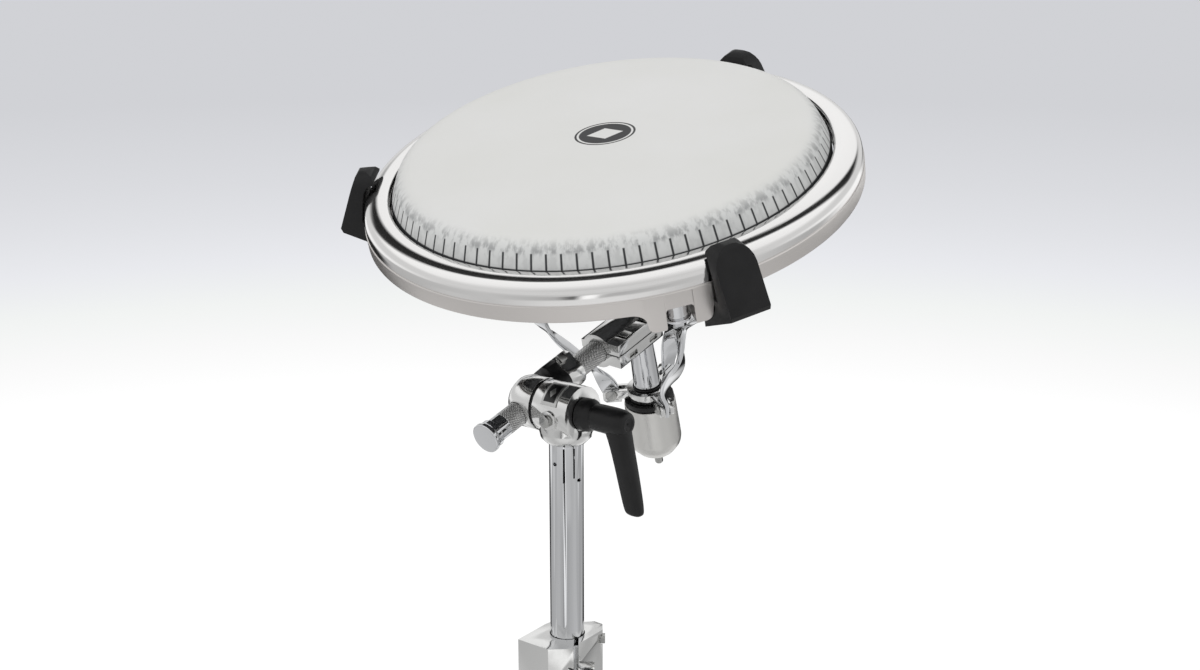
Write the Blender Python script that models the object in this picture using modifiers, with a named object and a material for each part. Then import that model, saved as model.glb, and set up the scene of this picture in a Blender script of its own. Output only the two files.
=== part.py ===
"""Compact conga in a three-arm basket on a tilting boom stand.

A synthetic conga head is stretched in a polished metal rim that has no shell below it.
Three rubber claws hold the rim, and a height-adjustable tripod stand carries it all.
The stand's own frame has +Z up along its tube and its origin on the floor under it.
Lengths are millimetres and angles degrees; MM turns them into metres in each mesh.
"""
import math

import bmesh
import bpy
from mathutils import Matrix, Vector

MM = 0.001
GAP = 0.3

# Place of the stand's tube from the centre of the whole object's footprint
TUBE_PLACE = (55.3, 28.1)

# Drum: rim, film and its inner hoops, from the rim's mouth plane
DRUM_CENTRE = (27.2, 75.6, 802.5)
DRUM_TILT = 18.9
DRUM_HEADING = -116.5
RIM_MOUTH = 148.5
RIM_RADIUS = 166.2
RIM_DEPTH = 24.0
CROWN_RISE = 16.2
FILM = 0.8
LUG_HEADINGS = (-77.0, 43.0, 163.0)
LUG_SPAN = 13.2
WINDOW_WIDTH = 16.8
LUG_BOTTOM = -37.0
BOLT_CIRCLE = 156.5
POCKET_ROOF = -20.0

# Basket: shaft, hub, grip nut and arms, heights from the rim's mouth plane
BASKET_OFFSET = 2.4
CLAW_HEADINGS = (-65.5, 54.5, 174.5)
CLAW_WIDTH = 26.0
SHAFT_TOP = -137.0
SHAFT_BOTTOM = -178.5
SCREW_RADIUS = 3.0
SCREW_END = -250.0
PIVOT_RADIUS = 26.5
PIVOT_HEIGHT = -184.5
STRAP_WIDTH = 13.0
STRAP_THICK = 3.2
TONGUE_LOW = -47.5
TONGUE_HIGH = -29.5
RIVET_RADIUS = 2.5

# Tilter and boom
TILTER_HEIGHT = 653.2
BARREL_HEADING = -40.0
BARREL_RADIUS = 17.5
BOOM_SIDE = -28.0
BOOM_RISE = 17.45
ROD_RADIUS = 7.9
ROD_START = -45.7
ROD_END = 114.3
BRACKET_PLACE = 96.3
LOCK_START = 28.0
LOCK_LENGTH = 13.6
LOCK_TURN = -37.5
BRACKET_ROLL = 4.4
BOLT_PLACES = (-14.0, 8.5)

# Tubes and height clamp
UPPER_TUBE = 11.1
LOWER_TUBE = 14.3
WALL = 1.5
CLAMP_TOP = 499.0
CLAMP_HEIGHT = 48.0

# Tripod: each leg and its brace make equal-sided triangles with the tube
LEG_HEADINGS = (50.0, 170.0, 290.0)
LEG_SPREAD = 55.0
LEG_LENGTH = 360.0
BRACE_LENGTH = 150.0
TRIPOD_PIVOT_RADIUS = 30.0
LOWER_PIVOT_HEIGHT = 46.0
LEG_WIDTH = 16.0
LEG_THICK = 6.0
PLATE_INNER = 3.6
PLATE_OUTER = 6.4
PIN_RADIUS = 2.5

FINISHES = {
    "chrome": ((0.62, 0.62, 0.63), 0.08, 1.0),
    "polished_alloy": ((0.80, 0.79, 0.78), 0.12, 1.0),
    "zinc_steel": ((0.50, 0.50, 0.51), 0.30, 1.0),
    "drum_film": ((0.78, 0.78, 0.76), 0.45, 0.0),
    "black_nylon": ((0.010, 0.010, 0.011), 0.42, 0.0),
    "black_rubber": ((0.012, 0.012, 0.013), 0.60, 0.0),
}


def start_scene():
    """Empty the scene and make the collections of parts and of cutters."""
    for item in list(bpy.data.objects):
        bpy.data.objects.remove(item, do_unlink=True)
    for name in ("compact_conga", "cutters"):
        group = bpy.data.collections.new(name)
        bpy.context.scene.collection.children.link(group)
    for name, (colour, roughness, metallic) in FINISHES.items():
        finish = bpy.data.materials.new(name)
        finish.use_nodes = True
        shader = finish.node_tree.nodes["Principled BSDF"]
        shader.inputs["Base Color"].default_value = (*colour, 1.0)
        shader.inputs["Roughness"].default_value = roughness
        shader.inputs["Metallic"].default_value = metallic


def placed(x=0.0, y=0.0, z=0.0):
    """A shift, in millimetres."""
    return Matrix.Translation((x, y, z))


def turned_by(angle, axis):
    """A turn about one axis."""
    return Matrix.Rotation(math.radians(angle), 4, axis)


def squared(origin, up, across):
    """A frame whose Z runs along up and whose X lies nearest to across."""
    z = Vector(up).normalized()
    x = Vector(across)
    x = (x - z * x.dot(z)).normalized()
    y = z.cross(x)
    frame = Matrix((x, y, z)).transposed().to_4x4()
    frame.translation = Vector(origin)
    return frame


def in_metres(frame):
    """The same frame with its origin in metres."""
    scaled = frame.copy()
    scaled.translation = frame.translation * MM
    return scaled


def add_frame(name, frame, parent=None):
    """An empty on a joint's axis or at a sub-assembly's place; frame is the stand's."""
    marker = bpy.data.objects.new(name, None)
    marker.empty_display_size = 0.02
    bpy.data.collections["compact_conga"].objects.link(marker)
    if parent is None:
        marker.matrix_local = in_metres(placed(*TUBE_PLACE) @ frame)
    else:
        marker.parent = parent[0]
        marker.matrix_local = in_metres(parent[1].inverted() @ frame)
    return marker, frame


def add_object(name, mesh, frame, finish=None):
    """A part with its finish, or a cutter when it has none, at home in a frame."""
    item = bpy.data.objects.new(name, mesh)
    item.parent = frame[0]
    if finish is None:
        bpy.data.collections["cutters"].objects.link(item)
        item.hide_render = True
        item.display_type = "WIRE"
    else:
        bpy.data.collections["compact_conga"].objects.link(item)
        mesh.materials.append(bpy.data.materials[finish])
    return item


def as_mesh(work, place=None, smooth=True):
    """Turn a bmesh in millimetres into a mesh in metres, closed and facing out."""
    if place is not None:
        bmesh.ops.transform(work, matrix=place, verts=work.verts)
    bmesh.ops.recalc_face_normals(work, faces=work.faces)
    bmesh.ops.scale(work, vec=(MM, MM, MM), verts=work.verts)
    mesh = bpy.data.meshes.new("shape")
    work.to_mesh(mesh)
    work.free()
    if smooth:
        mesh.shade_smooth()
        mesh.set_sharp_from_angle(angle=math.radians(35))
    return mesh


def cylinder(radius, low, high, sides=24, place=None):
    """A round bar along Z."""
    work = bmesh.new()
    middle = placed(0, 0, (low + high) / 2)
    bmesh.ops.create_cone(work, cap_ends=True, segments=sides, radius1=radius,
                          radius2=radius, depth=high - low, matrix=middle)
    return as_mesh(work, place)


def block(low, high, place=None, bevel=0.0):
    """A box between two corners, with its edges rounded where bevel is given."""
    work = bmesh.new()
    size = Vector(high) - Vector(low)
    centre = (Vector(high) + Vector(low)) / 2
    bmesh.ops.create_cube(work, size=1.0)
    bmesh.ops.scale(work, vec=size, verts=work.verts)
    bmesh.ops.translate(work, vec=centre, verts=work.verts)
    if bevel:
        bmesh.ops.bevel(work, geom=work.edges[:], offset=bevel, segments=2, affect="EDGES",
                        profile=0.5)
    return as_mesh(work, place)


def plate(outline, low, high, place=None):
    """A flat outline in XY, filled and made thick between two heights."""
    curve = bpy.data.curves.new("outline", "CURVE")
    curve.dimensions = "2D"
    curve.fill_mode = "BOTH"
    curve.extrude = (high - low) / 2
    spline = curve.splines.new("POLY")
    spline.points.add(len(outline) - 1)
    for point, (x, y) in zip(spline.points, outline):
        point.co = (x, y, 0.0, 1.0)
    spline.use_cyclic_u = True
    guide = bpy.data.objects.new("outline", curve)
    bpy.context.scene.collection.objects.link(guide)
    filled = guide.evaluated_get(bpy.context.evaluated_depsgraph_get())
    mesh = bpy.data.meshes.new_from_object(filled)
    bpy.data.objects.remove(guide)
    work = bmesh.new()
    work.from_mesh(mesh)
    bmesh.ops.remove_doubles(work, verts=work.verts, dist=0.001)
    middle = placed(0, 0, (low + high) / 2)
    return as_mesh(work, middle if place is None else place @ middle)


def turned(name, frame, profile, finish=None, steps=24):
    """A turned piece about Z; its profile runs down the outer side and up the bore."""
    mesh = bpy.data.meshes.new(name)
    corners = [(radius * MM, 0.0, height * MM) for radius, height in profile]
    edges = [(i, i + 1) for i in range(len(corners) - 1)]
    if profile[0][0] > 0:
        edges.append((len(corners) - 1, 0))
    mesh.from_pydata(corners, edges, [])
    item = add_object(name, mesh, frame, finish)
    screw = item.modifiers.new("turn", "SCREW")
    screw.steps = steps
    screw.render_steps = steps
    screw.use_merge_vertices = True
    screw.merge_threshold = 0.00001
    return item


def loft(sections):
    """A solid through like closed outlines, capped at both ends."""
    work = bmesh.new()
    rings = [[work.verts.new(point) for point in section] for section in sections]
    count = len(rings[0])
    for near, far in zip(rings, rings[1:]):
        for i in range(count):
            j = (i + 1) % count
            work.faces.new((near[i], near[j], far[j], far[i]))
    work.faces.new(rings[0])
    work.faces.new(rings[-1])
    return as_mesh(work)


def together(*meshes):
    """Several separate solids in one mesh."""
    work = bmesh.new()
    for mesh in meshes:
        work.from_mesh(mesh)
    joined = bpy.data.meshes.new("group")
    work.to_mesh(joined)
    work.free()
    return joined


def change(target, operation, mesh, frame):
    """Cut a part by another shape, join them, or keep what they share."""
    tool = add_object(target.name + "_" + operation.lower(), mesh, frame)
    step = target.modifiers.new(operation.lower(), "BOOLEAN")
    step.operation = operation
    step.object = tool


def arc(radius, start, end, count, centre=(0.0, 0.0)):
    """Points along part of a circle."""
    points = []
    for i in range(count + 1):
        angle = math.radians(start + (end - start) * i / count)
        points.append((centre[0] + radius * math.cos(angle),
                       centre[1] + radius * math.sin(angle)))
    return points


def sector(inner, outer, start, end, count):
    """The outline of part of a flat ring."""
    return arc(outer, start, end, count) + arc(inner, end, start, count)


def stadium(length, half_width, count=4, start=0.0):
    """A bar's outline with round ends centred at start and at start + length."""
    far = arc(half_width, -90, 90, count, (start + length, 0.0))
    return far + arc(half_width, 90, 270, count, (start, 0.0))


def rounded_box(x0, y0, x1, y1, radii, count=3):
    """A rectangle's outline with a radius for each corner, from the lower left."""
    corners = [(x0, y0, 180, radii[0]), (x1, y0, 270, radii[1]),
               (x1, y1, 0, radii[2]), (x0, y1, 90, radii[3])]
    points = []
    for x, y, start, radius in corners:
        cx = x + radius if x == x0 else x - radius
        cy = y + radius if y == y0 else y - radius
        points += arc(radius, start, start + 90, count, (cx, cy))
    return points


# Turns that stand a plate's outline upright: XY to XZ, and XY to YZ
UPRIGHT = turned_by(90, "X")
FACING_X = Matrix(((0, 0, 1, 0), (1, 0, 0, 0), (0, 1, 0, 0), (0, 0, 0, 1)))


def drum_normal():
    """The way that the playing surface faces."""
    tilt = math.radians(DRUM_TILT)
    heading = math.radians(DRUM_HEADING)
    return Vector((math.sin(tilt) * math.cos(heading), math.sin(tilt) * math.sin(heading),
                   math.cos(tilt)))


def make_rim(drum):
    """The polished rim: a rounded lip, a skirt with a crease, and three hollow lugs."""
    profile = [(155.0, 0.6), (160.0, -0.4), (163.9, -4.2), (164.9, -12.4),
               (RIM_RADIUS, -14.2), (RIM_RADIUS, -RIM_DEPTH), (162.8, -RIM_DEPTH),
               (162.8, -6.0), (160.0, -3.2), (RIM_MOUTH, -2.6), (RIM_MOUTH, -1.0)]
    rim = turned("rim", drum, profile, "polished_alloy", 48)
    half = LUG_SPAN / 2
    lugs = []
    pockets = []
    holes = []
    for heading in LUG_HEADINGS:
        turn = turned_by(heading, "Z")
        lugs.append(plate(sector(147.0, 167.2, -half, half, 4), LUG_BOTTOM, -13.2, turn))
        pockets.append(block((138.0, -WINDOW_WIDTH / 2, LUG_BOTTOM - 5),
                             (172.0, WINDOW_WIDTH / 2, POCKET_ROOF), turn))
        holes.append(cylinder(3.1, POCKET_ROOF - 1, -12.0, 12, turn @ placed(BOLT_CIRCLE)))
    change(rim, "UNION", together(*lugs), drum)
    change(rim, "DIFFERENCE", together(*pockets), drum)
    change(rim, "DIFFERENCE", together(*holes), drum)


def make_head(drum):
    """The moulded film, its flesh hoop and the frame whose edge stretches it."""
    outer = [(126.0, CROWN_RISE), (133.0, 15.4), (138.0, 12.8), (141.0, 8.4), (146.0, -3.2),
             (146.3, -12.0)]
    inner = [(145.5, -12.0), (145.2, -3.4), (140.2, 8.0), (137.4, 12.1), (132.6, 14.6),
             (126.0, CROWN_RISE - FILM)]
    crown = [(0.0, CROWN_RISE)]
    under = [(0.0, CROWN_RISE - FILM)]
    turned("head_film", drum, crown + outer + inner + under, "drum_film", 48)
    hoop = [(155.6, -4.0), (156.6, -5.0), (156.6, -12.0), (147.3, -12.0), (147.3, -4.0)]
    turned("flesh_hoop", drum, hoop, "polished_alloy", 48)
    wall = [(133.2, 13.6), (135.2, 11.0), (135.2, -24.0), (131.0, -24.0), (131.0, 12.0)]
    edge_ring = turned("bearing_edge_frame", drum, wall, "polished_alloy", 48)
    ears = []
    holes = []
    for heading in LUG_HEADINGS:
        turn = turned_by(heading, "Z")
        ears.append(block((132.5, -7.0, -24.0), (161.6, 7.0, -20.6), turn))
        holes.append(cylinder(3.1, -26.0, -19.0, 12, turn @ placed(BOLT_CIRCLE)))
    change(edge_ring, "UNION", together(*ears), drum)
    change(edge_ring, "DIFFERENCE", together(*holes), drum)


def make_tuning_bolts(drum):
    """A bolt in each lug: its head pulls the rim down onto the film's hoop."""
    for letter, heading in zip("abc", LUG_HEADINGS):
        place = drum[1] @ turned_by(heading, "Z") @ placed(BOLT_CIRCLE)
        axis = add_frame("tuning_axis_" + letter, place, drum)
        profile = [(0.0, -13.6), (2.8, -13.6), (2.8, -24.4), (6.8, -24.4), (6.8, -34.0),
                   (8.0, -34.0), (8.0, -36.4), (0.0, -36.4)]
        bolt = turned("tuning_bolt_" + letter, axis, profile, "chrome", 14)
        change(bolt, "UNION", block((-2.8, -2.8, -41.0), (2.8, 2.8, -35.0)), axis)


def make_shaft(basket):
    """The basket's fixed core: shaft, screw, seal, hub with clevis ears, and rivets."""
    bore = SCREW_RADIUS + GAP
    turned("basket_shaft", basket,
           [(8.3, SHAFT_TOP), (9.7, SHAFT_BOTTOM), (bore, SHAFT_BOTTOM), (bore, SHAFT_TOP)],
           "chrome", 24)
    turned("grip_screw", basket,
           [(0.0, -127.0), (SCREW_RADIUS, -127.0), (SCREW_RADIUS, SCREW_END + 1),
            (SCREW_RADIUS - 1, SCREW_END), (0.0, SCREW_END)], "zinc_steel", 12)
    turned("shaft_seal", basket,
           [(10.6, -178.8), (10.6, -180.6), (bore, -180.6), (bore, -178.8)], "black_rubber", 24)
    hub = turned("basket_hub", basket,
                 [(15.0, -180.9), (15.0, -188.0), (bore, -188.0), (bore, -180.9)], "chrome", 24)
    ear = [(14.2, -188.0), (18.8, -188.0), (19.6, -190.6), (30.5, -190.6), (32.6, -188.5),
           (32.6, -183.5), (30.2, -181.1), (14.2, -181.1)]
    ears = []
    holes = []
    for letter, (heading, _) in zip("abc", arm_places()):
        turn = turned_by(heading, "Z")
        for side in (-1, 1):
            middle = side * 3.4
            ears.append(plate(ear, middle - 1.4, middle + 1.4, turn @ UPRIGHT))
        axle = turn @ placed(PIVOT_RADIUS, 0, PIVOT_HEIGHT) @ UPRIGHT
        holes.append(cylinder(RIVET_RADIUS + GAP, -9.0, 9.0, 12, axle))
        make_rivet("arm_rivet_" + letter, basket, axle, 5.1)
    change(hub, "UNION", together(*ears), basket)
    change(hub, "DIFFERENCE", together(*holes), basket)


def make_rivet(name, frame, line, inner):
    """A rivet along a line: its shank, and a flat head beyond inner at each end."""
    rivet = add_object(name, cylinder(RIVET_RADIUS, -inner - 1, inner + 1, 10, line), frame,
                       "zinc_steel")
    heads = together(cylinder(4.2, inner, inner + 1.5, 10, line),
                     cylinder(4.2, -inner - 1.5, -inner, 10, line))
    change(rivet, "UNION", heads, frame)


def make_grip(basket):
    """The pressure disc and the bell-shaped nut that close the arms on the rim."""
    bore = SCREW_RADIUS + GAP
    grip = add_frame("grip_axis", basket[1], basket)
    turned("pressure_disc", grip,
           [(18.0, -189.0), (18.0, -193.2), (bore, -193.2), (bore, -189.0)],
           "black_nylon", 24)
    turned("grip_nut", grip,
           [(18.6, -193.6), (19.3, -226.0), (18.4, -229.8), (13.6, -237.0), (11.0, -238.6),
            (bore, -238.6), (bore, -193.6)], "polished_alloy", 24)


def arm_places():
    """Each arm's heading about the shaft, and how far the rim is from it there."""
    places = []
    for heading in CLAW_HEADINGS:
        angle = math.radians(heading)
        x = RIM_RADIUS * math.cos(angle) - BASKET_OFFSET
        y = RIM_RADIUS * math.sin(angle)
        places.append((math.degrees(math.atan2(y, x)), math.hypot(x, y)))
    return places


def strap_sections(reach):
    """Cross-sections of an arm from its rivet to its tongue, from the rivet's centre."""
    route = [(24.6, -189.8, 0), (27.6, -180.8, 0), (29.8, -175.0, 10), (34.5, -165.5, 50),
             (43.5, -154.5, 80), (53.0, -143.5, 85), (61.5, -133.5, 75), (68.0, -123.5, 45),
             (71.5, -112.5, 15), (73.5, -100.0, 0), (79.0, -88.0, 0), (91.0, -78.5, 20),
             (107.0, -70.0, 60), (127.0, -59.0, 90), (reach - 20.0, TONGUE_LOW, 90),
             (reach + 12.0, TONGUE_HIGH, 90)]
    sections = []
    for i, (radius, height, twist) in enumerate(route):
        before = route[max(i - 1, 0)]
        after = route[min(i + 1, len(route) - 1)]
        along = Vector((after[0] - before[0], 0.0, after[1] - before[1])).normalized()
        outward = Vector((-along.z, 0.0, along.x))
        sideways = Vector((0.0, 1.0, 0.0))
        turn = math.radians(twist)
        wide = outward * math.cos(turn) + sideways * math.sin(turn)
        thick = along.cross(wide)
        centre = Vector((radius - PIVOT_RADIUS, 0.0, height - PIVOT_HEIGHT))
        wide *= STRAP_WIDTH / 2
        thick *= STRAP_THICK / 2
        sections.append([centre + wide + thick, centre - wide + thick,
                         centre - wide - thick, centre + wide - thick])
    return sections


def make_arms_and_claws(drum, basket):
    """Three twisted strap arms, hinged on the hub, each with a rubber claw on its end."""
    side = [(159.2, 1.3), (158.4, 3.2), (160.0, 6.6), (164.5, 8.8), (169.0, 8.7), (171.0, 6.8),
            (187.6, -27.6), (186.6, -31.0), (147.0, -53.0), (143.4, -52.0), (143.4, -45.4),
            (158.4, -31.5), (158.4, -24.5), (171.6, -24.5), (167.9, -9.0), (165.8, -3.2),
            (163.4, 0.0), (161.2, 1.1)]
    half = CLAW_WIDTH / 2
    face = rounded_box(-half, -55.0, half, 9.0, (3.0, 3.0, 12.8, 12.8), 5)
    for letter, (heading, reach), claw_heading in zip("abc", arm_places(), CLAW_HEADINGS):
        place = basket[1] @ turned_by(heading, "Z") @ placed(PIVOT_RADIUS, 0, PIVOT_HEIGHT)
        pivot = add_frame("arm_pivot_" + letter, place, basket)
        arm = add_object("arm_" + letter, loft(strap_sections(reach)), pivot, "chrome")
        change(arm, "DIFFERENCE", cylinder(RIVET_RADIUS + GAP, -5, 5, 12, UPRIGHT), pivot)
        grip = add_frame("claw_place_" + letter, drum[1] @ turned_by(claw_heading, "Z"), pivot)
        claw = add_object("claw_" + letter, plate(side, -half, half, UPRIGHT), grip,
                          "black_rubber")
        change(claw, "INTERSECT", plate(face, 150.0, 200.0, FACING_X), grip)
        inner = Vector((reach - 24.0 - PIVOT_RADIUS, 0.0, TONGUE_LOW - 2.25 - PIVOT_HEIGHT))
        tip = Vector((reach + 12.0 - PIVOT_RADIUS, 0.0, TONGUE_HIGH - PIVOT_HEIGHT))
        slot = squared((inner + tip) / 2, tip - inner, (0.0, 1.0, 0.0))
        length = (tip - inner).length / 2 + GAP
        wide = STRAP_WIDTH / 2 + GAP
        thick = STRAP_THICK / 2 + GAP
        change(claw, "DIFFERENCE", block((-wide, -thick, -length), (wide, thick, length), slot),
               pivot)


def make_bracket(bracket, basket):
    """The split bracket: a casting with the shaft's boss, a cap, and two nutted bolts."""
    back = -29.0
    front = 19.0
    groove = ROD_RADIUS + GAP
    along = FACING_X
    saddle = cylinder(12.6, back, front, 24, along)
    shaft = bracket[1].inverted() @ basket[1] @ Vector((0.0, 0.0, SHAFT_TOP))
    base_outline = [(back, -19.0), (front, -19.0), (shaft.x + 11, shaft.y - 9),
                    (shaft.x + 11, shaft.y + 7), (shaft.x + 2, shaft.y + 11.5),
                    (front, 13.0), (back, 13.0)]
    base = add_object("bracket_base", plate(base_outline, -9.0, -0.4), bracket, "chrome")
    change(base, "UNION", saddle, bracket)
    boss = cylinder(12.2, SHAFT_TOP + GAP, SHAFT_TOP + 19.0, 20)
    change(base, "UNION", boss, basket)
    split = block((back - 9, -40.0, -0.4), (60.0, 40.0, 40.0))
    rod_hole = cylinder(groove, back - 5, ROD_END - BRACKET_PLACE + 1.0, 24, along)
    change(base, "DIFFERENCE", split, bracket)
    change(base, "DIFFERENCE", rod_hole, bracket)
    screw_hole = cylinder(SCREW_RADIUS + GAP, SHAFT_TOP - 2, -126.5, 12)
    change(base, "DIFFERENCE", screw_hole, basket)

    cap = add_object("bracket_cap", block((back, -19.0, 0.4), (front, 13.0, 6.5)), bracket,
                     "chrome")
    change(cap, "UNION", cylinder(12.6, back, front, 24, along), bracket)
    lip = block((back, -19.0, 0.4), (front, -7.0, 8.6))
    change(cap, "UNION", lip, bracket)
    change(cap, "DIFFERENCE", block((back - 9, -40.0, -40.0), (60.0, 40.0, 0.4)), bracket)
    change(cap, "DIFFERENCE", cylinder(groove, back - 5, front + 5, 24, along), bracket)
    holes = []
    pockets = []
    side_pockets = []
    for number, x in enumerate(BOLT_PLACES, 1):
        spot = placed(x, -13.9, 0)
        pockets.append(block((-5.0, -4.2, 5.0), (5.0, 4.2, 15.0), spot))
        holes.append(cylinder(2.5 + GAP, -8.4, 12.0, 10, spot))
        side_pockets.append(block((-4.4, -9.0, -7.1), (4.4, 4.1, -3.3), spot))
        bolt = add_object(f"bracket_bolt_{number}", cylinder(2.5, -8.0, 7.0, 10, spot),
                          bracket, "zinc_steel")
        change(bolt, "UNION", block((-3.5, -3.5, 5.3), (3.5, 3.5, 9.4), spot), bracket)
        change(bolt, "UNION", block((-4.0, -3.8, -6.8), (4.0, 3.8, -3.6), spot), bracket)
    change(base, "DIFFERENCE", together(*side_pockets), bracket)
    change(base, "DIFFERENCE", together(*holes), bracket)
    change(cap, "DIFFERENCE", together(*pockets), bracket)
    change(cap, "DIFFERENCE", together(*holes), bracket)


def make_boom(boom):
    """The boom rod with its end cap and its memory lock."""
    bore = ROD_RADIUS + GAP
    turned("boom_rod", boom, [(0.0, ROD_END), (6.9, ROD_END), (ROD_RADIUS, ROD_END - 1),
                              (ROD_RADIUS, ROD_START), (0.0, ROD_START)], "chrome", 24)
    turned("boom_end_cap", boom,
           [(0.0, ROD_START - GAP), (bore, ROD_START - GAP), (bore, ROD_START + 6.0),
            (9.3, ROD_START + 6.0), (9.0, ROD_START + 2.0), (10.2, ROD_START + 1.0),
            (10.2, ROD_START - 2.2), (0.0, ROD_START - 2.2)], "chrome", 24)
    body = arc(10.8, 141, 399, 12) + [(8.4, 11.2), (5.4, 14.2), (-5.4, 14.2), (-8.4, 11.2)]
    top = LOCK_START + LOCK_LENGTH
    turn = turned_by(LOCK_TURN, "Z")
    rod_hole = cylinder(bore, 0.0, top + 5, 24)
    pad_mesh = plate(body, BARREL_RADIUS + GAP, LOCK_START - GAP, turn)
    pad = add_object("memory_lock_pad", pad_mesh, boom, "black_nylon")
    change(pad, "DIFFERENCE", rod_hole, boom)
    lock = add_object("memory_lock", plate(body, LOCK_START, top, turn), boom, "chrome")
    slit = block((-1.0, 0.0, LOCK_START - 5), (1.0, 30.0, top + 5), turn)
    bolt_line = turn @ placed(0, 11.1, LOCK_START + 4.0) @ turned_by(-90, "Y")
    hole = cylinder(1.8 + GAP, -20.0, 20.0, 10, bolt_line)
    change(lock, "DIFFERENCE", rod_hole, boom)
    change(lock, "DIFFERENCE", slit, boom)
    change(lock, "DIFFERENCE", hole, boom)
    bolt = add_object("memory_lock_bolt", cylinder(1.8, -9.6, 9.6, 10, bolt_line), boom,
                      "zinc_steel")
    head = block((-3.0, -3.0, 8.7), (3.0, 3.0, 11.6), bolt_line)
    change(bolt, "UNION", head, boom)


def make_holder(tilt, guide):
    """The domed half of the tilter, and the eye bolt that squeezes the rod in it."""
    along = add_frame("holder_axis", tilt[1] @ turned_by(-90, "Y"), tilt)
    holder = turned("rod_holder", along,
                    [(0.0, 42.0), (7.0, 41.2), (12.5, 38.8), (16.0, 35.0),
                     (BARREL_RADIUS, 30.5), (BARREL_RADIUS, 16.9), (0.0, 16.9)], "chrome", 24)
    bore = ROD_RADIUS + GAP
    to_lever = turned_by(-90, "Y")
    change(holder, "DIFFERENCE", cylinder(bore, -30.0, 30.0, 24), guide)
    change(holder, "DIFFERENCE", cylinder(11.4, -4.3, 4.3, 24), guide)
    change(holder, "DIFFERENCE", cylinder(4.3, 10.0, 25.0, 12), along)
    eye = add_object("tilt_eye_bolt", cylinder(10.9, -4.0, 4.0, 24), guide, "zinc_steel")
    change(eye, "UNION", cylinder(4.0, 3.0, 58.0, 12, to_lever), guide)
    change(eye, "DIFFERENCE", cylinder(bore, -6.0, 6.0, 24), guide)


def make_tilter(tilter):
    """The fixed half of the tilter: barrel, bowl over the tube, badge, screw and disc."""
    along_x = turned_by(90, "Y")
    screw_line = placed(1.0, 0, -3.0) @ turned_by(90, "X")
    bowl = turned("tilter_body", tilter,
                  [(0.0, -8.0), (16.6, -8.0), (17.3, -13.5), (16.4, -17.6), (12.4, -21.5),
                   (0.0, -21.5)], "chrome", 24)
    change(bowl, "UNION", cylinder(BARREL_RADIUS, -14.3, 14.2, 24, along_x), tilter)
    change(bowl, "DIFFERENCE", cylinder(BARREL_RADIUS + 0.5, -50.0, -14.3, 24, along_x), tilter)
    change(bowl, "DIFFERENCE", cylinder(11.2, 14.2, 25.0, 20, along_x), tilter)
    change(bowl, "UNION", cylinder(6.3, 10.0, 19.4, 12, screw_line), tilter)
    change(bowl, "DIFFERENCE", cylinder(UPPER_TUBE + GAP, -30.0, -9.6, 24), tilter)
    change(bowl, "DIFFERENCE", cylinder(4.3, -20.0, 20.0, 12, along_x), tilter)
    change(bowl, "DIFFERENCE", cylinder(2.8, 12.0, 21.0, 10, screw_line), tilter)
    screw = add_object("tilter_screw", cylinder(2.5, 12.5, 20.5, 10, screw_line), tilter,
                       "zinc_steel")
    change(screw, "UNION", cylinder(4.4, 19.7, 22.6, 6, screw_line), tilter)
    disc_line = add_frame("disc_axis", tilter[1] @ along_x, tilter)
    turned("tilter_disc", disc_line,
           [(16.6, -14.6), (16.6, -16.6), (4.4, -16.6), (4.4, -14.6)], "black_nylon", 24)
    band = sector(BARREL_RADIUS + GAP, BARREL_RADIUS + 0.9, 102.0, 160.0, 8)
    add_object("badge_plate", plate(band, -6.5, 6.0, FACING_X), tilter, "black_nylon")


def make_lever(tilter):
    """The ratchet lever that clamps the tilter: a hub on the barrel's axis and a handle."""
    axis = add_frame("lever_axis", tilter[1] @ turned_by(90, "Y"), tilter)
    hub = turned("tilt_lever", axis,
                 [(0.0, 51.4), (6.2, 51.4), (7.4, 50.2), (8.6, 46.0), (8.8, 25.6), (8.0, 25.2),
                  (8.0, 24.4), (10.6, 21.0), (10.6, 14.6), (4.3, 14.6), (4.3, 32.0),
                  (0.0, 32.0)], "black_nylon", 20)
    # Places down the handle: drop, distance along the axis, half width and half depth
    stations = [(1.0, 41.5, 8.0, 5.5), (8.3, 43.6, 10.0, 6.3), (18.0, 46.6, 10.0, 6.2),
                (28.7, 49.4, 10.0, 5.8), (42.0, 53.0, 9.0, 5.2), (54.0, 56.2, 7.2, 4.4),
                (60.0, 57.6, 5.4, 3.4)]
    sections = []
    for drop, side, half_width, half_depth in stations:
        ring = []
        for i in range(10):
            angle = math.radians(36.0 * i + 18.0)
            across = math.copysign(abs(math.cos(angle)) ** 0.7, math.cos(angle))
            deep = math.copysign(abs(math.sin(angle)) ** 0.7, math.sin(angle))
            ring.append(Vector((drop, half_depth * deep, side + half_width * across)))
        sections.append(ring)
    change(hub, "UNION", loft(sections), axis)


def make_upper_tube(mast):
    """The upper tube with its two slots and two small holes below the tilter."""
    top = TILTER_HEIGHT - 10.0
    tube = turned("upper_tube", mast,
                  [(UPPER_TUBE, top), (UPPER_TUBE, 330.0), (UPPER_TUBE - WALL, 330.0),
                   (UPPER_TUBE - WALL, top)], "chrome", 24)
    cuts = [block((-2.0, -14.0, 607.0), (-0.6, -6.0, 630.0)),
            block((4.6, -14.0, 610.0), (5.6, -5.0, 630.0)),
            cylinder(1.3, 5.0, 14.0, 8, placed(-7.2, 0, 619.0) @ turned_by(90, "X")),
            cylinder(1.3, 4.0, 14.0, 8, placed(8.2, 0, 608.0) @ turned_by(90, "X"))]
    change(tube, "DIFFERENCE", together(*cuts), mast)


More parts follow.
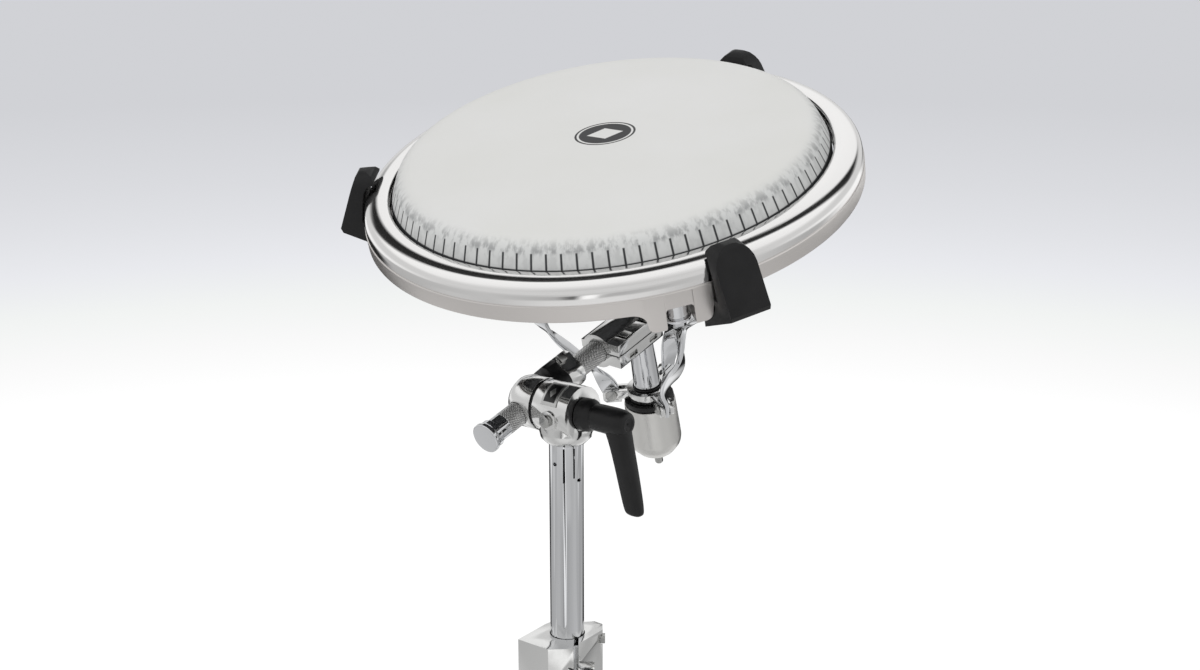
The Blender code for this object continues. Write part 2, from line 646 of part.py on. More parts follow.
def make_base_tube(stand):
    """The lower tube, and the plastic bushing that guides the upper tube in its mouth."""
    turned("lower_tube", stand,
           [(LOWER_TUBE, CLAMP_TOP - 4.0), (LOWER_TUBE, 20.0), (LOWER_TUBE - WALL, 20.0),
            (LOWER_TUBE - WALL, CLAMP_TOP - 4.0)], "chrome", 24)
    turned("height_bushing", stand,
           [(LOWER_TUBE - WALL - GAP, CLAMP_TOP - 4.0), (LOWER_TUBE - WALL - GAP, 455.0),
            (UPPER_TUBE + GAP, 455.0), (UPPER_TUBE + GAP, CLAMP_TOP - 4.0)],
           "black_nylon", 24)


def make_height_clamp(stand):
    """The split clamp on the lower tube's mouth, its wing bolt and its square key bolt."""
    low = CLAMP_TOP - CLAMP_HEIGHT
    outline = [(7.6, -17.5), (23.4, 4.0), (23.2, 12.6), (17.7, 17.0)]
    outline += arc(19.5, 55.0, 140.0, 6)
    outline += [(-32.0, -10.8), (-12.0, -26.0), (4.6, -25.0), (4.6, -17.0)]
    body = add_object("height_clamp", plate(outline, low, CLAMP_TOP), stand, "chrome")
    ear = rounded_box(-30.0, low, -15.6, 486.0, (6.0, 1.0, 1.0, 6.0))
    change(body, "UNION", plate(ear, 1.0, 18.0, FACING_X), stand)
    change(body, "DIFFERENCE", block((4.6, -40.0, low - 5), (7.6, -8.0, CLAMP_TOP + 5)), stand)
    bore = cylinder(LOWER_TUBE + GAP, low - 5, CLAMP_TOP - 3.6, 24)
    change(body, "DIFFERENCE", bore, stand)
    change(body, "DIFFERENCE", cylinder(UPPER_TUBE + 0.6, 480.0, CLAMP_TOP + 5, 24), stand)
    bolt_line = placed(0, -23.0, 468.0) @ turned_by(90, "Y")
    change(body, "DIFFERENCE", cylinder(3.4, -40.0, 40.0, 12, bolt_line), stand)
    key_line = placed(0, 5.5, 492.0) @ turned_by(90, "Y")
    change(body, "DIFFERENCE", cylinder(4.6, 19.5, 30.0, 12, key_line), stand)
    change(body, "DIFFERENCE", cylinder(2.4, 16.5, 30.0, 10, key_line), stand)
    key = add_object("clamp_key_bolt", cylinder(2.1, 16.8, 21.0, 10, key_line), stand,
                     "zinc_steel")
    change(key, "UNION", block((-2.6, -2.6, 20.0), (2.6, 2.6, 25.0), key_line), stand)
    axis = add_frame("height_wing_axis", stand[1] @ bolt_line, stand)
    make_wing_bolt("height_wing_bolt", axis, 18.4, -27.0)


def make_wing_bolt(name, axis, seat, end):
    """A wing bolt: threaded shank, round collar and two wings across the axis."""
    bolt = turned(name, axis,
                  [(0.0, seat + 12.0), (4.6, seat + 12.0), (7.0, seat + 3.0), (7.0, seat),
                   (3.0, seat), (3.0, end), (0.0, end)], "chrome", 16)
    wing = rounded_box(-19.0, seat + 3.0, 19.0, seat + 18.0, (2.0, 2.0, 6.0, 6.0))
    wings = plate(wing, -2.0, 2.0, turned_by(90, "Z") @ turned_by(90, "X"))
    change(bolt, "UNION", wings, axis)


def tripod_places():
    """Heights of the upper pivots, and the leg's lean from the tube."""
    lean = math.radians(LEG_SPREAD)
    upper = LOWER_PIVOT_HEIGHT + 2 * BRACE_LENGTH * math.cos(lean)
    return upper, lean


def make_tripod(stand):
    """Three legs and three braces between a fixed lower collar and a sliding upper one."""
    upper, lean = tripod_places()
    reach = TRIPOD_PIVOT_RADIUS + BRACE_LENGTH * math.sin(lean)
    height = LOWER_PIVOT_HEIGHT + BRACE_LENGTH * math.cos(lean)
    half = LEG_WIDTH / 2
    legs = []
    for number, heading in enumerate(LEG_HEADINGS, 1):
        side = stand[1] @ turned_by(heading, "Z")
        foot_of_brace = side @ placed(TRIPOD_PIVOT_RADIUS, 0, LOWER_PIVOT_HEIGHT)
        brace_axis = add_frame(f"brace_axis_{number}", foot_of_brace, stand)
        leg_axis = add_frame(f"leg_axis_{number}", side @ placed(reach, 0, height), brace_axis)
        make_brace(number, brace_axis)
        make_leg(number, leg_axis, half)
        legs.append(leg_axis)
    collar_axis = add_frame("collar_axis", stand[1] @ turned_by(LEG_HEADINGS[0], "Z")
                            @ placed(TRIPOD_PIVOT_RADIUS, 0, upper), legs[0])
    collar = add_frame("upper_collar_place", stand[1] @ placed(0, 0, upper), collar_axis)
    make_upper_collar(collar)
    make_lower_collar(stand)


def make_brace(number, axis):
    """A brace: two flat bars beside the leg, joined by a web near the lower collar."""
    slope = turned_by(LEG_SPREAD - 90.0, "Y")
    bar = stadium(BRACE_LENGTH, 7.0)
    sides = [plate(bar, low, low + PLATE_OUTER - PLATE_INNER, slope @ UPRIGHT)
             for low in (PLATE_INNER, -PLATE_OUTER)]
    brace = add_object(f"brace_{number}", together(*sides), axis, "chrome")
    web = block((24.0, 1.0 - PLATE_OUTER, -5.0), (58.0, PLATE_OUTER - 1.0, 5.0), slope)
    change(brace, "UNION", web, axis)
    ends = [cylinder(PIN_RADIUS + GAP, -20.0, 20.0, 12, slope @ placed(x) @ UPRIGHT)
            for x in (0.0, BRACE_LENGTH)]
    change(brace, "DIFFERENCE", together(*ends), axis)
    make_rivet(f"leg_pin_{number}", axis, slope @ placed(BRACE_LENGTH) @ UPRIGHT, 6.7)


def make_leg(number, axis, half):
    """A leg from its pivot on the upper collar to its rubber foot, past the brace's pin."""
    slope = turned_by(90.0 - LEG_SPREAD, "Y")
    bar = stadium(LEG_LENGTH - 6.0, half, 4, -BRACE_LENGTH)
    leg_mesh = plate(bar, -LEG_THICK / 2, LEG_THICK / 2, slope @ UPRIGHT)
    leg = add_object(f"leg_{number}", leg_mesh, axis, "chrome")
    ends = [cylinder(PIN_RADIUS + GAP, -20.0, 20.0, 12, slope @ placed(x) @ UPRIGHT)
            for x in (0.0, -BRACE_LENGTH)]
    change(leg, "DIFFERENCE", together(*ends), axis)
    past = LEG_LENGTH - BRACE_LENGTH
    lean = math.radians(LEG_SPREAD)
    x = past * math.sin(lean)
    floor = -(LOWER_PIVOT_HEIGHT + BRACE_LENGTH * math.cos(lean))
    shoe = rounded_box(x - 26.0, floor, x + 16.0, floor + 26.0, (3.0, 3.0, 12.0, 9.0))
    foot = add_object(f"foot_{number}", plate(shoe, -10.0, 10.0, UPRIGHT), axis,
                      "black_rubber")
    room = stadium(LEG_LENGTH - 6.0, half + GAP, 4, -BRACE_LENGTH)
    thick = LEG_THICK / 2 + GAP
    change(foot, "DIFFERENCE", plate(room, -thick, thick, slope @ UPRIGHT), axis)


def make_lower_collar(stand):
    """The collar fixed near the lower tube's end, with a tongue for each brace."""
    collar = turned("lower_collar", stand,
                    [(20.0, 62.0), (20.0, 30.0), (LOWER_TUBE + GAP, 30.0),
                     (LOWER_TUBE + GAP, 62.0)], "black_nylon", 24)
    tongues = []
    pins = []
    for heading in LEG_HEADINGS:
        turn = turned_by(heading, "Z")
        outline = rounded_box(17.0, LOWER_PIVOT_HEIGHT - 7.0, TRIPOD_PIVOT_RADIUS + 7.0,
                              LOWER_PIVOT_HEIGHT + 7.0, (0.5, 6.0, 6.0, 0.5), 2)
        tongues.append(plate(outline, -3.2, 3.2, turn @ UPRIGHT))
        line = turn @ placed(TRIPOD_PIVOT_RADIUS, 0, LOWER_PIVOT_HEIGHT) @ UPRIGHT
        pins += fixed_pin(line)
    change(collar, "UNION", together(*tongues), stand)
    for piece in pins:
        change(collar, "UNION", piece, stand)


def fixed_pin(line):
    """The shank and the two heads of a pin that stays fixed in its collar."""
    return [cylinder(PIN_RADIUS, -7.5, 7.5, 8, line),
            together(cylinder(4.2, 6.7, 8.2, 8, line), cylinder(4.2, -8.2, -6.7, 8, line))]


def make_upper_collar(collar):
    """The sliding collar, with two ears for each leg and a wing bolt that locks it."""
    ring = turned("upper_collar", collar,
                  [(20.0, 18.0), (20.0, -12.0), (LOWER_TUBE + 0.5, -12.0),
                   (LOWER_TUBE + 0.5, 18.0)], "black_nylon", 24)
    ears = []
    pins = []
    for heading in LEG_HEADINGS:
        turn = turned_by(heading, "Z")
        outline = rounded_box(17.0, -7.0, TRIPOD_PIVOT_RADIUS + 7.0, 7.0, (0.5, 6.0, 6.0, 0.5), 2)
        for low in (PLATE_INNER, -PLATE_OUTER):
            high = low + PLATE_OUTER - PLATE_INNER
            ears.append(plate(outline, low, high, turn @ UPRIGHT))
        pins += fixed_pin(turn @ placed(TRIPOD_PIVOT_RADIUS) @ UPRIGHT)
    change(ring, "UNION", together(*ears), collar)
    for piece in pins:
        change(ring, "UNION", piece, collar)
    bolt_line = turned_by(-10.0, "Z") @ placed(0, 0, 8.0) @ turned_by(90, "Y")
    change(ring, "UNION", cylinder(7.0, 17.0, 27.0, 12, bolt_line), collar)
    change(ring, "DIFFERENCE", cylinder(3.4, 10.0, 30.0, 12, bolt_line), collar)
    axis = add_frame("collar_wing_axis", collar[1] @ bolt_line, collar)
    make_wing_bolt("collar_wing_bolt", axis, 27.4, 16.0)


def main():
    """Lay out the frames from the floor up, then make every piece in its own."""
    start_scene()
    stand = add_frame("stand", Matrix())
    mast = add_frame("mast", Matrix(), stand)
    head_of_tube = placed(0, 0, TILTER_HEIGHT) @ turned_by(BARREL_HEADING, "Z")
    tilter = add_frame("tilter_axis", head_of_tube, mast)
    tilt = add_frame("tilt_axis", head_of_tube, tilter)
    rod_line = (head_of_tube @ placed(BOOM_SIDE) @ turned_by(BOOM_RISE - 90.0, "X")
                @ turned_by(180, "Z"))
    guide = add_frame("rod_guide", rod_line, tilt)
    boom = add_frame("boom_axis", rod_line, guide)
    bracket_place = (rod_line @ placed(0, 0, BRACKET_PLACE) @ turned_by(BRACKET_ROLL, "Z")
                     @ FACING_X.inverted())
    bracket = add_frame("bracket_axis", bracket_place, boom)
    drum_place = squared(DRUM_CENTRE, drum_normal(), (1.0, 0.0, 0.0))
    basket = add_frame("basket_place", drum_place @ placed(BASKET_OFFSET), bracket)
    drum = add_frame("drum_place", drum_place, basket)

    make_base_tube(stand)
    make_height_clamp(stand)
    make_tripod(stand)
    make_upper_tube(mast)
    make_tilter(tilter)
    make_lever(tilter)
    make_holder(tilt, guide)
    make_boom(boom)
    make_bracket(bracket, basket)
    make_shaft(basket)
    make_grip(basket)
    make_rim(drum)
    make_head(drum)
    make_tuning_bolts(drum)
    make_arms_and_claws(drum, basket)


main()
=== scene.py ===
"""A compact conga on its stand: white moulded head, polished rim, rubber claws, chromed stand."""
import math

import bpy
import numpy as np
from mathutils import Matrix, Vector


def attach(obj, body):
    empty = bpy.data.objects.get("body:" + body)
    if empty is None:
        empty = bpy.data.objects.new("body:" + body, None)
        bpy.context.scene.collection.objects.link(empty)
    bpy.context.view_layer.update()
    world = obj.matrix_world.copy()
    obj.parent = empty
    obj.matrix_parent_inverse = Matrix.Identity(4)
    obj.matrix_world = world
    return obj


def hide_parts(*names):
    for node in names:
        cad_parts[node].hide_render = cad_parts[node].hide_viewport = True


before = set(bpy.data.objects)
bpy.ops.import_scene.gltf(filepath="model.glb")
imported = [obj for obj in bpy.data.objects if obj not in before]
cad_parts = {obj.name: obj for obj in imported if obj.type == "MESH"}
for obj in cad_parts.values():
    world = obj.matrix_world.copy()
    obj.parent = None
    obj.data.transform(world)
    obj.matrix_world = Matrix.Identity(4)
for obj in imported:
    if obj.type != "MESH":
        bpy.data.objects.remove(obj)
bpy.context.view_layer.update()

# The camera stands at chest height and looks a little down at the drum. Its place, drop and
# lens were fitted to the rim's ellipse and to the upright tube of the photograph.
CAMERA_PLACE = (0.0769, -0.9219, 0.9477)
CAMERA_DROP = 14.5
LENS_MM = 46.8
SENSOR_MM = 36.0
SIGHT_END = 200.0
camera = bpy.data.objects.new("camera", bpy.data.cameras.new("camera"))
bpy.context.scene.collection.objects.link(camera)
camera.location = CAMERA_PLACE
camera.rotation_euler = (math.radians(90.0 - CAMERA_DROP), 0.0, 0.0)
camera.data.lens = LENS_MM
camera.data.sensor_width = SENSOR_MM
camera.data.clip_end = SIGHT_END
bpy.context.scene.camera = camera
bpy.context.scene.view_settings.view_transform = "Standard"

# The floor: seamless studio paper that runs back from white into grey haze. It keeps the
# stand's soft shadow. Polished metal doesn't see it, but the studio's walls behind it.
FLOOR_SIZE = 80.0
PAPER_GLOW = 0.86
PAPER_SHADE = 0.24
FAR_HAZE = "d2d3d7"
# Places in the haze, each as one over its distance in metres from the origin
HAZE = ((0.12, "d0d1d5"), (0.44, "ffffff"), (0.189, "d9dade"), (0.227, "dfe0e4"),
        (0.269, "e7e8ec"), (0.313, "eff1f0"), (0.36, "f6f6f6"))
SMOOTH = {"interpolation_type": "SMOOTHSTEP"}
COLOURS = {"data_type": "RGBA"}


def linear(code):
    """A colour's linear values from its sRGB hex code, by the usual 2.4 power with a toe."""
    parts = [int(code[i:i + 2], 16) / 255 for i in (0, 2, 4)]
    return tuple(part / 12.92 if part <= 0.04045 else ((part + 0.055) / 1.055) ** 2.4
                 for part in parts) + (1.0,)


def grey(level):
    """A neutral colour of that linear level."""
    return (level, level, level, 1.0)


def add_node(tree, kind, settings=None, links=None, stops=()):
    """One shader node: its settings, then each input's value or the output it reads."""
    node = tree.nodes.new("ShaderNode" + kind)
    for key, value in (settings or {}).items():
        setattr(node, key, value)
    for socket, source in (links or {}).items():
        if isinstance(source, bpy.types.NodeSocket):
            tree.links.new(source, node.inputs[socket])
        else:
            node.inputs[socket].default_value = source
    for number, (place, colour) in enumerate(stops):
        ramp = node.color_ramp.elements
        stop = ramp[number] if number < 2 else ramp.new(place)
        stop.position = place
        stop.color = colour
    return node


half = FLOOR_SIZE / 2
floor_mesh = bpy.data.meshes.new("floor")
floor_mesh.from_pydata([(-half, -half, 0), (half, -half, 0), (half, half, 0), (-half, half, 0)],
                       [], [(0, 1, 2, 3)])
floor = bpy.data.objects.new("floor", floor_mesh)
bpy.context.scene.collection.objects.link(floor)
# Studio paper: matte, without a sheen. The eye sees a clean white that greys with distance.
paper = bpy.data.materials.new("studio_paper")
paper.use_nodes = True
tree = paper.node_tree
tree.nodes.clear()
spot = add_node(tree, "TexCoord").outputs["Object"]
away = add_node(tree, "VectorMath", {"operation": "LENGTH"}, {0: spot})
near = add_node(tree, "Math", {"operation": "DIVIDE"}, {0: 1.0, 1: away.outputs["Value"]})
fade = add_node(tree, "ValToRGB", links={"Fac": near.outputs[0]},
                stops=[(place, linear(code)) for place, code in HAZE])
glow = add_node(tree, "Emission", links={"Color": fade.outputs[0], "Strength": PAPER_GLOW})
matte = add_node(tree, "BsdfDiffuse", links={"Color": fade.outputs[0]})
dark = add_node(tree, "Emission", links={"Strength": 0.0})
clear = add_node(tree, "BsdfTransparent")
path = add_node(tree, "LightPath")
kept = add_node(tree, "MixShader",
                links={0: PAPER_SHADE, 1: dark.outputs[0], 2: matte.outputs[0]})
shown = add_node(tree, "AddShader", links={0: kept.outputs[0], 1: glow.outputs[0]})
lit = add_node(tree, "MixShader", links={
    0: path.outputs["Is Camera Ray"], 1: matte.outputs[0], 2: shown.outputs[0]})
whole = add_node(tree, "MixShader", links={
    0: path.outputs["Is Glossy Ray"], 1: lit.outputs[0], 2: clear.outputs[0]})
add_node(tree, "OutputMaterial", links={"Surface": whole.outputs[0]})
floor_mesh.materials.append(paper)

# The light: an even pale room with two soft lamps. Polished metal sees the same studio's bright
# panel behind the drum, hoops of black flags and pale walls round that panel, and, in low
# directions, walls that change from black to bright with their heading.
AMBIENT = 0.62
PANEL = Vector((0.1, 0.75, 0.65)).normalized()
FLAG_GREY = 0.74
# Heights are the seen direction's Z. Above the horizon the flags fade in with height, and the
# walls show only in a band below it.
FLAG_START = 0.28
FLAG_FULL = 0.5
HORIZON_HALF = 0.05
WALL_TOP = -0.12
WALL_TOP_FULL = -0.2
WALL_FOOT_FULL = -0.45
WALL_FOOT = -0.6
# Degrees from the panel, and the level seen there
HOOPS = ((0, 1.05), (180, 0.85), (27, 1.0), (32, 0.02), (45, 0.03), (52, 1.08), (80, 1.0),
         (106, 0.7), (135, 0.6), (160, 0.8))
# Degrees of heading from the front, and the level of the wall there
WALLS = ((-180, 0.02), (180, 0.02), (-140, 0.02), (-130, 0.5), (-60, 0.62), (-28, 0.5),
         (-20, 0.04), (-16, 1.25), (-10, 1.1), (-6, 0.5), (60, 0.66), (96, 0.48), (124, 0.5),
         (138, 0.02))
world = bpy.data.worlds.new("studio")
bpy.context.scene.world = world
world.use_nodes = True
tree = world.node_tree
tree.nodes.clear()
sight = add_node(tree, "TexCoord").outputs["Generated"]
way = add_node(tree, "SeparateXYZ", links={0: sight})
apart = add_node(tree, "VectorMath", {"operation": "DOT_PRODUCT"}, {0: sight, 1: tuple(PANEL)})
apart = add_node(tree, "Math", {"operation": "ARCCOSINE"}, {0: apart.outputs["Value"]})
apart = add_node(tree, "Math", {"operation": "MULTIPLY"}, {0: apart.outputs[0], 1: 1 / math.pi})
hoops = add_node(tree, "ValToRGB", links={"Fac": apart.outputs[0]},
                 stops=[(angle / 180, grey(level)) for angle, level in HOOPS])
front = add_node(tree, "Math", {"operation": "MULTIPLY"}, {0: way.outputs["Y"], 1: -1.0})
heading_at = add_node(tree, "Math", {"operation": "ARCTAN2"},
                      {0: way.outputs["X"], 1: front.outputs[0]})
heading_at = add_node(tree, "Math", {"operation": "MULTIPLY_ADD"},
                      {0: heading_at.outputs[0], 1: 0.5 / math.pi, 2: 0.5})
walls = add_node(tree, "ValToRGB", links={"Fac": heading_at.outputs[0]},
                 stops=[(angle / 360.0 + 0.5, grey(level)) for angle, level in WALLS])
flags = add_node(tree, "MapRange", SMOOTH,
                 {"Value": way.outputs["Z"], "From Min": FLAG_START, "From Max": FLAG_FULL})
above = add_node(tree, "MapRange", {}, {
    "Value": way.outputs["Z"], "From Min": -HORIZON_HALF, "From Max": HORIZON_HALF})
lean = add_node(tree, "Mix", COLOURS,
                {0: flags.outputs["Result"], 6: grey(FLAG_GREY), 7: hoops.outputs["Color"]})
shown = add_node(tree, "Mix", COLOURS,
                 {0: above.outputs["Result"], 6: hoops.outputs["Color"], 7: lean.outputs[2]})
low = add_node(tree, "MapRange", SMOOTH,
               {"Value": way.outputs["Z"], "From Min": WALL_TOP, "From Max": WALL_TOP_FULL})
deep = add_node(tree, "MapRange", SMOOTH,
                {"Value": way.outputs["Z"], "From Min": WALL_FOOT, "From Max": WALL_FOOT_FULL})
band = add_node(tree, "Math", {"operation": "MULTIPLY"},
                {0: low.outputs["Result"], 1: deep.outputs["Result"]})
panels = add_node(tree, "Mix", COLOURS,
                  {0: band.outputs[0], 6: shown.outputs[2], 7: walls.outputs[0]})
path = add_node(tree, "LightPath")
room = add_node(tree, "Mix", COLOURS,
                {0: path.outputs["Is Glossy Ray"], 6: grey(AMBIENT), 7: panels.outputs[2]})
seen = add_node(tree, "Mix", COLOURS,
                {0: path.outputs["Is Camera Ray"], 6: room.outputs[2], 7: linear(FAR_HAZE)})
glow = add_node(tree, "Background", links={"Color": seen.outputs[2]})
add_node(tree, "OutputWorld", links={"Surface": glow.outputs[0]})

LAMP_SIZE = 1.6
LAMP_AIM = Vector((0.08, 0.1, 0.75))
for name, spot, watts in (("key_lamp", (-1.3, -1.3, 2.6), 32.0),
                          ("fill_lamp", (1.9, -0.9, 1.9), 12.0)):
    lamp = bpy.data.lights.new(name, "AREA")
    lamp.size = LAMP_SIZE
    lamp.energy = watts
    item = bpy.data.objects.new(name, lamp)
    bpy.context.scene.collection.objects.link(item)
    item.location = spot
    item.rotation_euler = (LAMP_AIM - Vector(spot)).to_track_quat("-Z", "Y").to_euler()
    item.visible_glossy = False

# The rim: one polished aluminium ring, cast and turned, with a rolled lip, a crease where the
# turned skirt begins, and three lugs, each an upside-down U around its tuning bolt. All
# measures of the drum are in mm from DRUM, the middle of the rim's top plane.
DRUM_MIDDLE = (82.5, 103.7, 802.5)
DRUM_UP = (-0.144531, -0.289885, 0.946085)
LUG_HEADINGS = (-77.0, 43.0, 163.0)
RIM_OUTSIDE = 166.2
RIM_INSIDE = 162.8
SKIRT_BOTTOM = -24.0
LUG_BOTTOM = -37.0
LUG_HALF = 19.2
LUG_DEPTH = 13.8
LUG_REACH = 44.0
LUG_FADE = 9.0
WINDOW_TOP = -23.4
WINDOW_HALF = 8.4


def squared(origin, up, across):
    """A place in mm: its axes, with Z along up and X nearest to across, and its origin."""
    z_axis = np.array(up) / np.linalg.norm(up)
    x_axis = np.array(across) - z_axis * (z_axis @ np.array(across))
    x_axis = x_axis / np.linalg.norm(x_axis)
    return np.stack([x_axis, np.cross(z_axis, x_axis), z_axis]), np.array(origin, float)


def moved(place, angle=0.0, shift=(0.0, 0.0, 0.0)):
    """A place turned about its own Z by some degrees, then shifted along its new axes."""
    cosine = math.cos(math.radians(angle))
    sine = math.sin(math.radians(angle))
    axes = np.array([[cosine, sine, 0.0], [-sine, cosine, 0.0], [0.0, 0.0, 1.0]]) @ place[0]
    return axes, place[1] + np.array(shift) @ axes


def laid(place, points):
    """Points in mm along a place's own axes as points in metres of the whole object."""
    return (points @ place[0] + place[1]) * 0.001


def eased(corners, reach, steps=4, closed=True):
    """Outlines with eased corners: corners has the shape (corners, outlines, 2).

    Each corner C is cut back by its reach towards both neighbours, to A and B, and bridged by
    (1 - t) squared times A, plus 2 t (1 - t) times C, plus t squared times B, for t 0 to 1.
    """
    corners = np.asarray(corners, float)
    reach = np.asarray(reach, float)[:, None, None]
    ends = []
    for shift in (1, -1):
        way = np.roll(corners, shift, axis=0) - corners
        length = np.linalg.norm(way, axis=2, keepdims=True)
        ends.append(corners + way / length * np.minimum(reach, length * 0.49))
    t = np.linspace(0.0, 1.0, steps)[:, None, None, None]
    bridge = (1 - t) ** 2 * ends[0] + 2 * t * (1 - t) * corners + t ** 2 * ends[1]
    outline = bridge.transpose(1, 0, 2, 3).reshape(-1, *corners.shape[1:])
    if not closed:
        outline = np.concatenate([corners[:1], outline[steps:-steps], corners[-1:]])
    return outline


def skin(name, shells, finish, sharp=38.0):
    """An object of closed surfaces, each given as (rings, ends).

    Rings has the shape (rows, columns, 3) in metres. Its columns join round; its rows join
    round too when ends is "loop", and else the first and the last row are closed by a fan to
    their middle. UV is (turns round, metres along the rows). Faces are turned over where the
    volume, the sum of each face's triple product, comes out negative. Edges that bend by more
    than sharp degrees stay crisp.
    """
    points = []
    faces = []
    uvs = []
    start = 0
    for rings, ends in shells:
        rows, columns = rings.shape[:2]
        step = np.linalg.norm(np.roll(rings, -1, axis=0) - rings, axis=2).mean(axis=1)
        along = np.concatenate([[0.0], np.cumsum(step)])
        count = rows if ends == "loop" else rows - 1
        index = np.arange(rows * columns).reshape(rows, columns)
        here = index[:count]
        next_row = np.roll(index, -1, axis=0)[:count]
        quads = np.stack([here, np.roll(here, -1, axis=1), np.roll(next_row, -1, axis=1),
                          next_row], axis=-1)
        u = np.arange(columns) / columns
        u = np.stack([u, u + 1 / columns, u + 1 / columns, u], axis=-1)[None]
        v = np.stack([along[:count]] * 2 + [along[1:count + 1]] * 2, axis=-1)[:, None]
        quad_uv = np.stack(np.broadcast_arrays(u, v), axis=-1).reshape(-1, 4, 2)
        quads = quads.reshape(-1, 4)
        corners = rings.reshape(-1, 3)
        fans = np.zeros((0, 3), int)
        fan_uv = np.zeros((0, 3, 2))
        if ends != "loop":
            corners = np.concatenate([corners, rings[:1].mean(axis=1), rings[-1:].mean(axis=1)])
            hub = rows * columns
            first = index[0]
            last = index[-1]
            fans = np.concatenate([
                np.stack([np.roll(first, -1), first, np.full(columns, hub)], axis=-1),
                np.stack([last, np.roll(last, -1), np.full(columns, hub + 1)], axis=-1)])
            middle = (u[0, :, 0] + u[0, :, 1]) / 2
            side = [np.stack([u[0, :, 1], u[0, :, 0], middle], axis=-1),
                    np.stack([u[0, :, 0], u[0, :, 1], middle], axis=-1)]
            level = [np.full((columns, 3), along[0]), np.full((columns, 3), along[rows - 1])]
            fan_uv = np.stack([np.concatenate(side), np.concatenate(level)], axis=-1)
        spots = corners[quads]
        volume = np.einsum("ij,ij->", spots[:, 0], np.cross(spots[:, 1], spots[:, 2]))
        volume += np.einsum("ij,ij->", spots[:, 0], np.cross(spots[:, 2], spots[:, 3]))
        if len(fans):
            spots = corners[fans]
            volume += np.einsum("ij,ij->", spots[:, 0], np.cross(spots[:, 1], spots[:, 2]))
        turn_over = slice(None, None, -1 if volume < 0 else 1)
        faces += (quads[:, turn_over] + start).tolist() + (fans[:, turn_over] + start).tolist()
        uvs += [quad_uv[:, turn_over].reshape(-1), fan_uv[:, turn_over].reshape(-1)]
        points.append(corners)
        start += len(corners)
    mesh = bpy.data.meshes.new(name)
    mesh.from_pydata(np.concatenate(points).tolist(), [], faces)
    layer = mesh.uv_layers.new(name="UVMap")
    layer.uv.foreach_set("vector", np.concatenate(uvs).astype(np.float32))
    mesh.shade_smooth()
    mesh.set_sharp_from_angle(angle=math.radians(sharp))
    mesh.materials.append(finish)
    item = bpy.data.objects.new(name, mesh)
    bpy.context.scene.collection.objects.link(item)
    return item


def stand_in(item, body, slot, *nodes):
    """A new piece moves with its body and stands for its nodes, which are hidden. The slot is not
    used.
    """
    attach(item, body)
    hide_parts(*nodes)


def material(name, colour, metallic, roughness):
    """A new Principled material, its node tree and its shader."""
    finish = bpy.data.materials.new(name)
    finish.use_nodes = True
    tree = finish.node_tree
    shader = tree.nodes["Principled BSDF"]
    shader.inputs["Base Color"].default_value = linear(colour)
    shader.inputs["Metallic"].default_value = metallic
    shader.inputs["Roughness"].default_value = roughness
    return finish, tree, shader


# Polished aluminium: a bright mirror on the lip; below the crease the skirt keeps its turning
# marks and looks softer and warmer. The eye sees long clean streaks over fine round lines.
MIRROR_ROUGHNESS = 0.07
SKIRT_ROUGHNESS = 0.3
# Places along the section in metres, where the crease ends the mirror and starts the skirt
CREASE_START = 0.0283
CREASE_END = 0.0292
TURNING_MARK_MM = 0.1111
TURNING_MARKS_ROUND = 30.0
RUBBED_PATCH_MM = 16.67
alloy, tree, shader = material("polished_aluminium", "e4e2df", 1.0, MIRROR_ROUGHNESS)
spot = add_node(tree, "TexCoord").outputs["Object"]
uv = add_node(tree, "SeparateXYZ", links={0: add_node(tree, "UVMap").outputs["UV"]})
skirt = add_node(tree, "MapRange", SMOOTH, {
    "Value": uv.outputs["Y"], "From Min": CREASE_START, "From Max": CREASE_END})
lines_round = add_node(tree, "Math", {"operation": "MULTIPLY"},
                       {0: uv.outputs["X"], 1: TURNING_MARKS_ROUND})
lines_down = add_node(tree, "Math", {"operation": "MULTIPLY"},
                      {0: uv.outputs["Y"], 1: 1000 / TURNING_MARK_MM})
lines_at = add_node(tree, "CombineXYZ",
                    links={0: lines_round.outputs[0], 1: lines_down.outputs[0]})
lines = add_node(tree, "TexNoise",
                 links={"Vector": lines_at.outputs[0], "Scale": 1.0, "Detail": 2.0})
soft = add_node(tree, "TexNoise",
                links={"Vector": spot, "Scale": 1000 / RUBBED_PATCH_MM, "Detail": 3.0})
rough = add_node(tree, "Mix", {"data_type": "FLOAT"},
                 {0: skirt.outputs["Result"], 2: MIRROR_ROUGHNESS, 3: SKIRT_ROUGHNESS})
rough = add_node(tree, "Math", {"operation": "MULTIPLY_ADD"},
                 {0: soft.outputs["Fac"], 1: 0.06, 2: rough.outputs[0]})
tree.links.new(rough.outputs[0], shader.inputs["Roughness"])
tone = add_node(tree, "Mix", COLOURS,
                {0: skirt.outputs["Result"], 6: linear("e9e8e7"), 7: linear("d8d4d1")})
tree.links.new(tone.outputs[2], shader.inputs["Base Color"])
depth = add_node(tree, "Math", {"operation": "MULTIPLY_ADD"},
                 {0: skirt.outputs["Result"], 1: 0.22, 2: 0.02})
turned_marks = add_node(tree, "Bump", links={
    "Height": lines.outputs["Fac"], "Strength": depth.outputs[0], "Distance": 0.0002})
tree.links.new(turned_marks.outputs["Normal"], shader.inputs["Normal"])

DRUM = squared(DRUM_MIDDLE, DRUM_UP, (1.0, 0.0, 0.0))
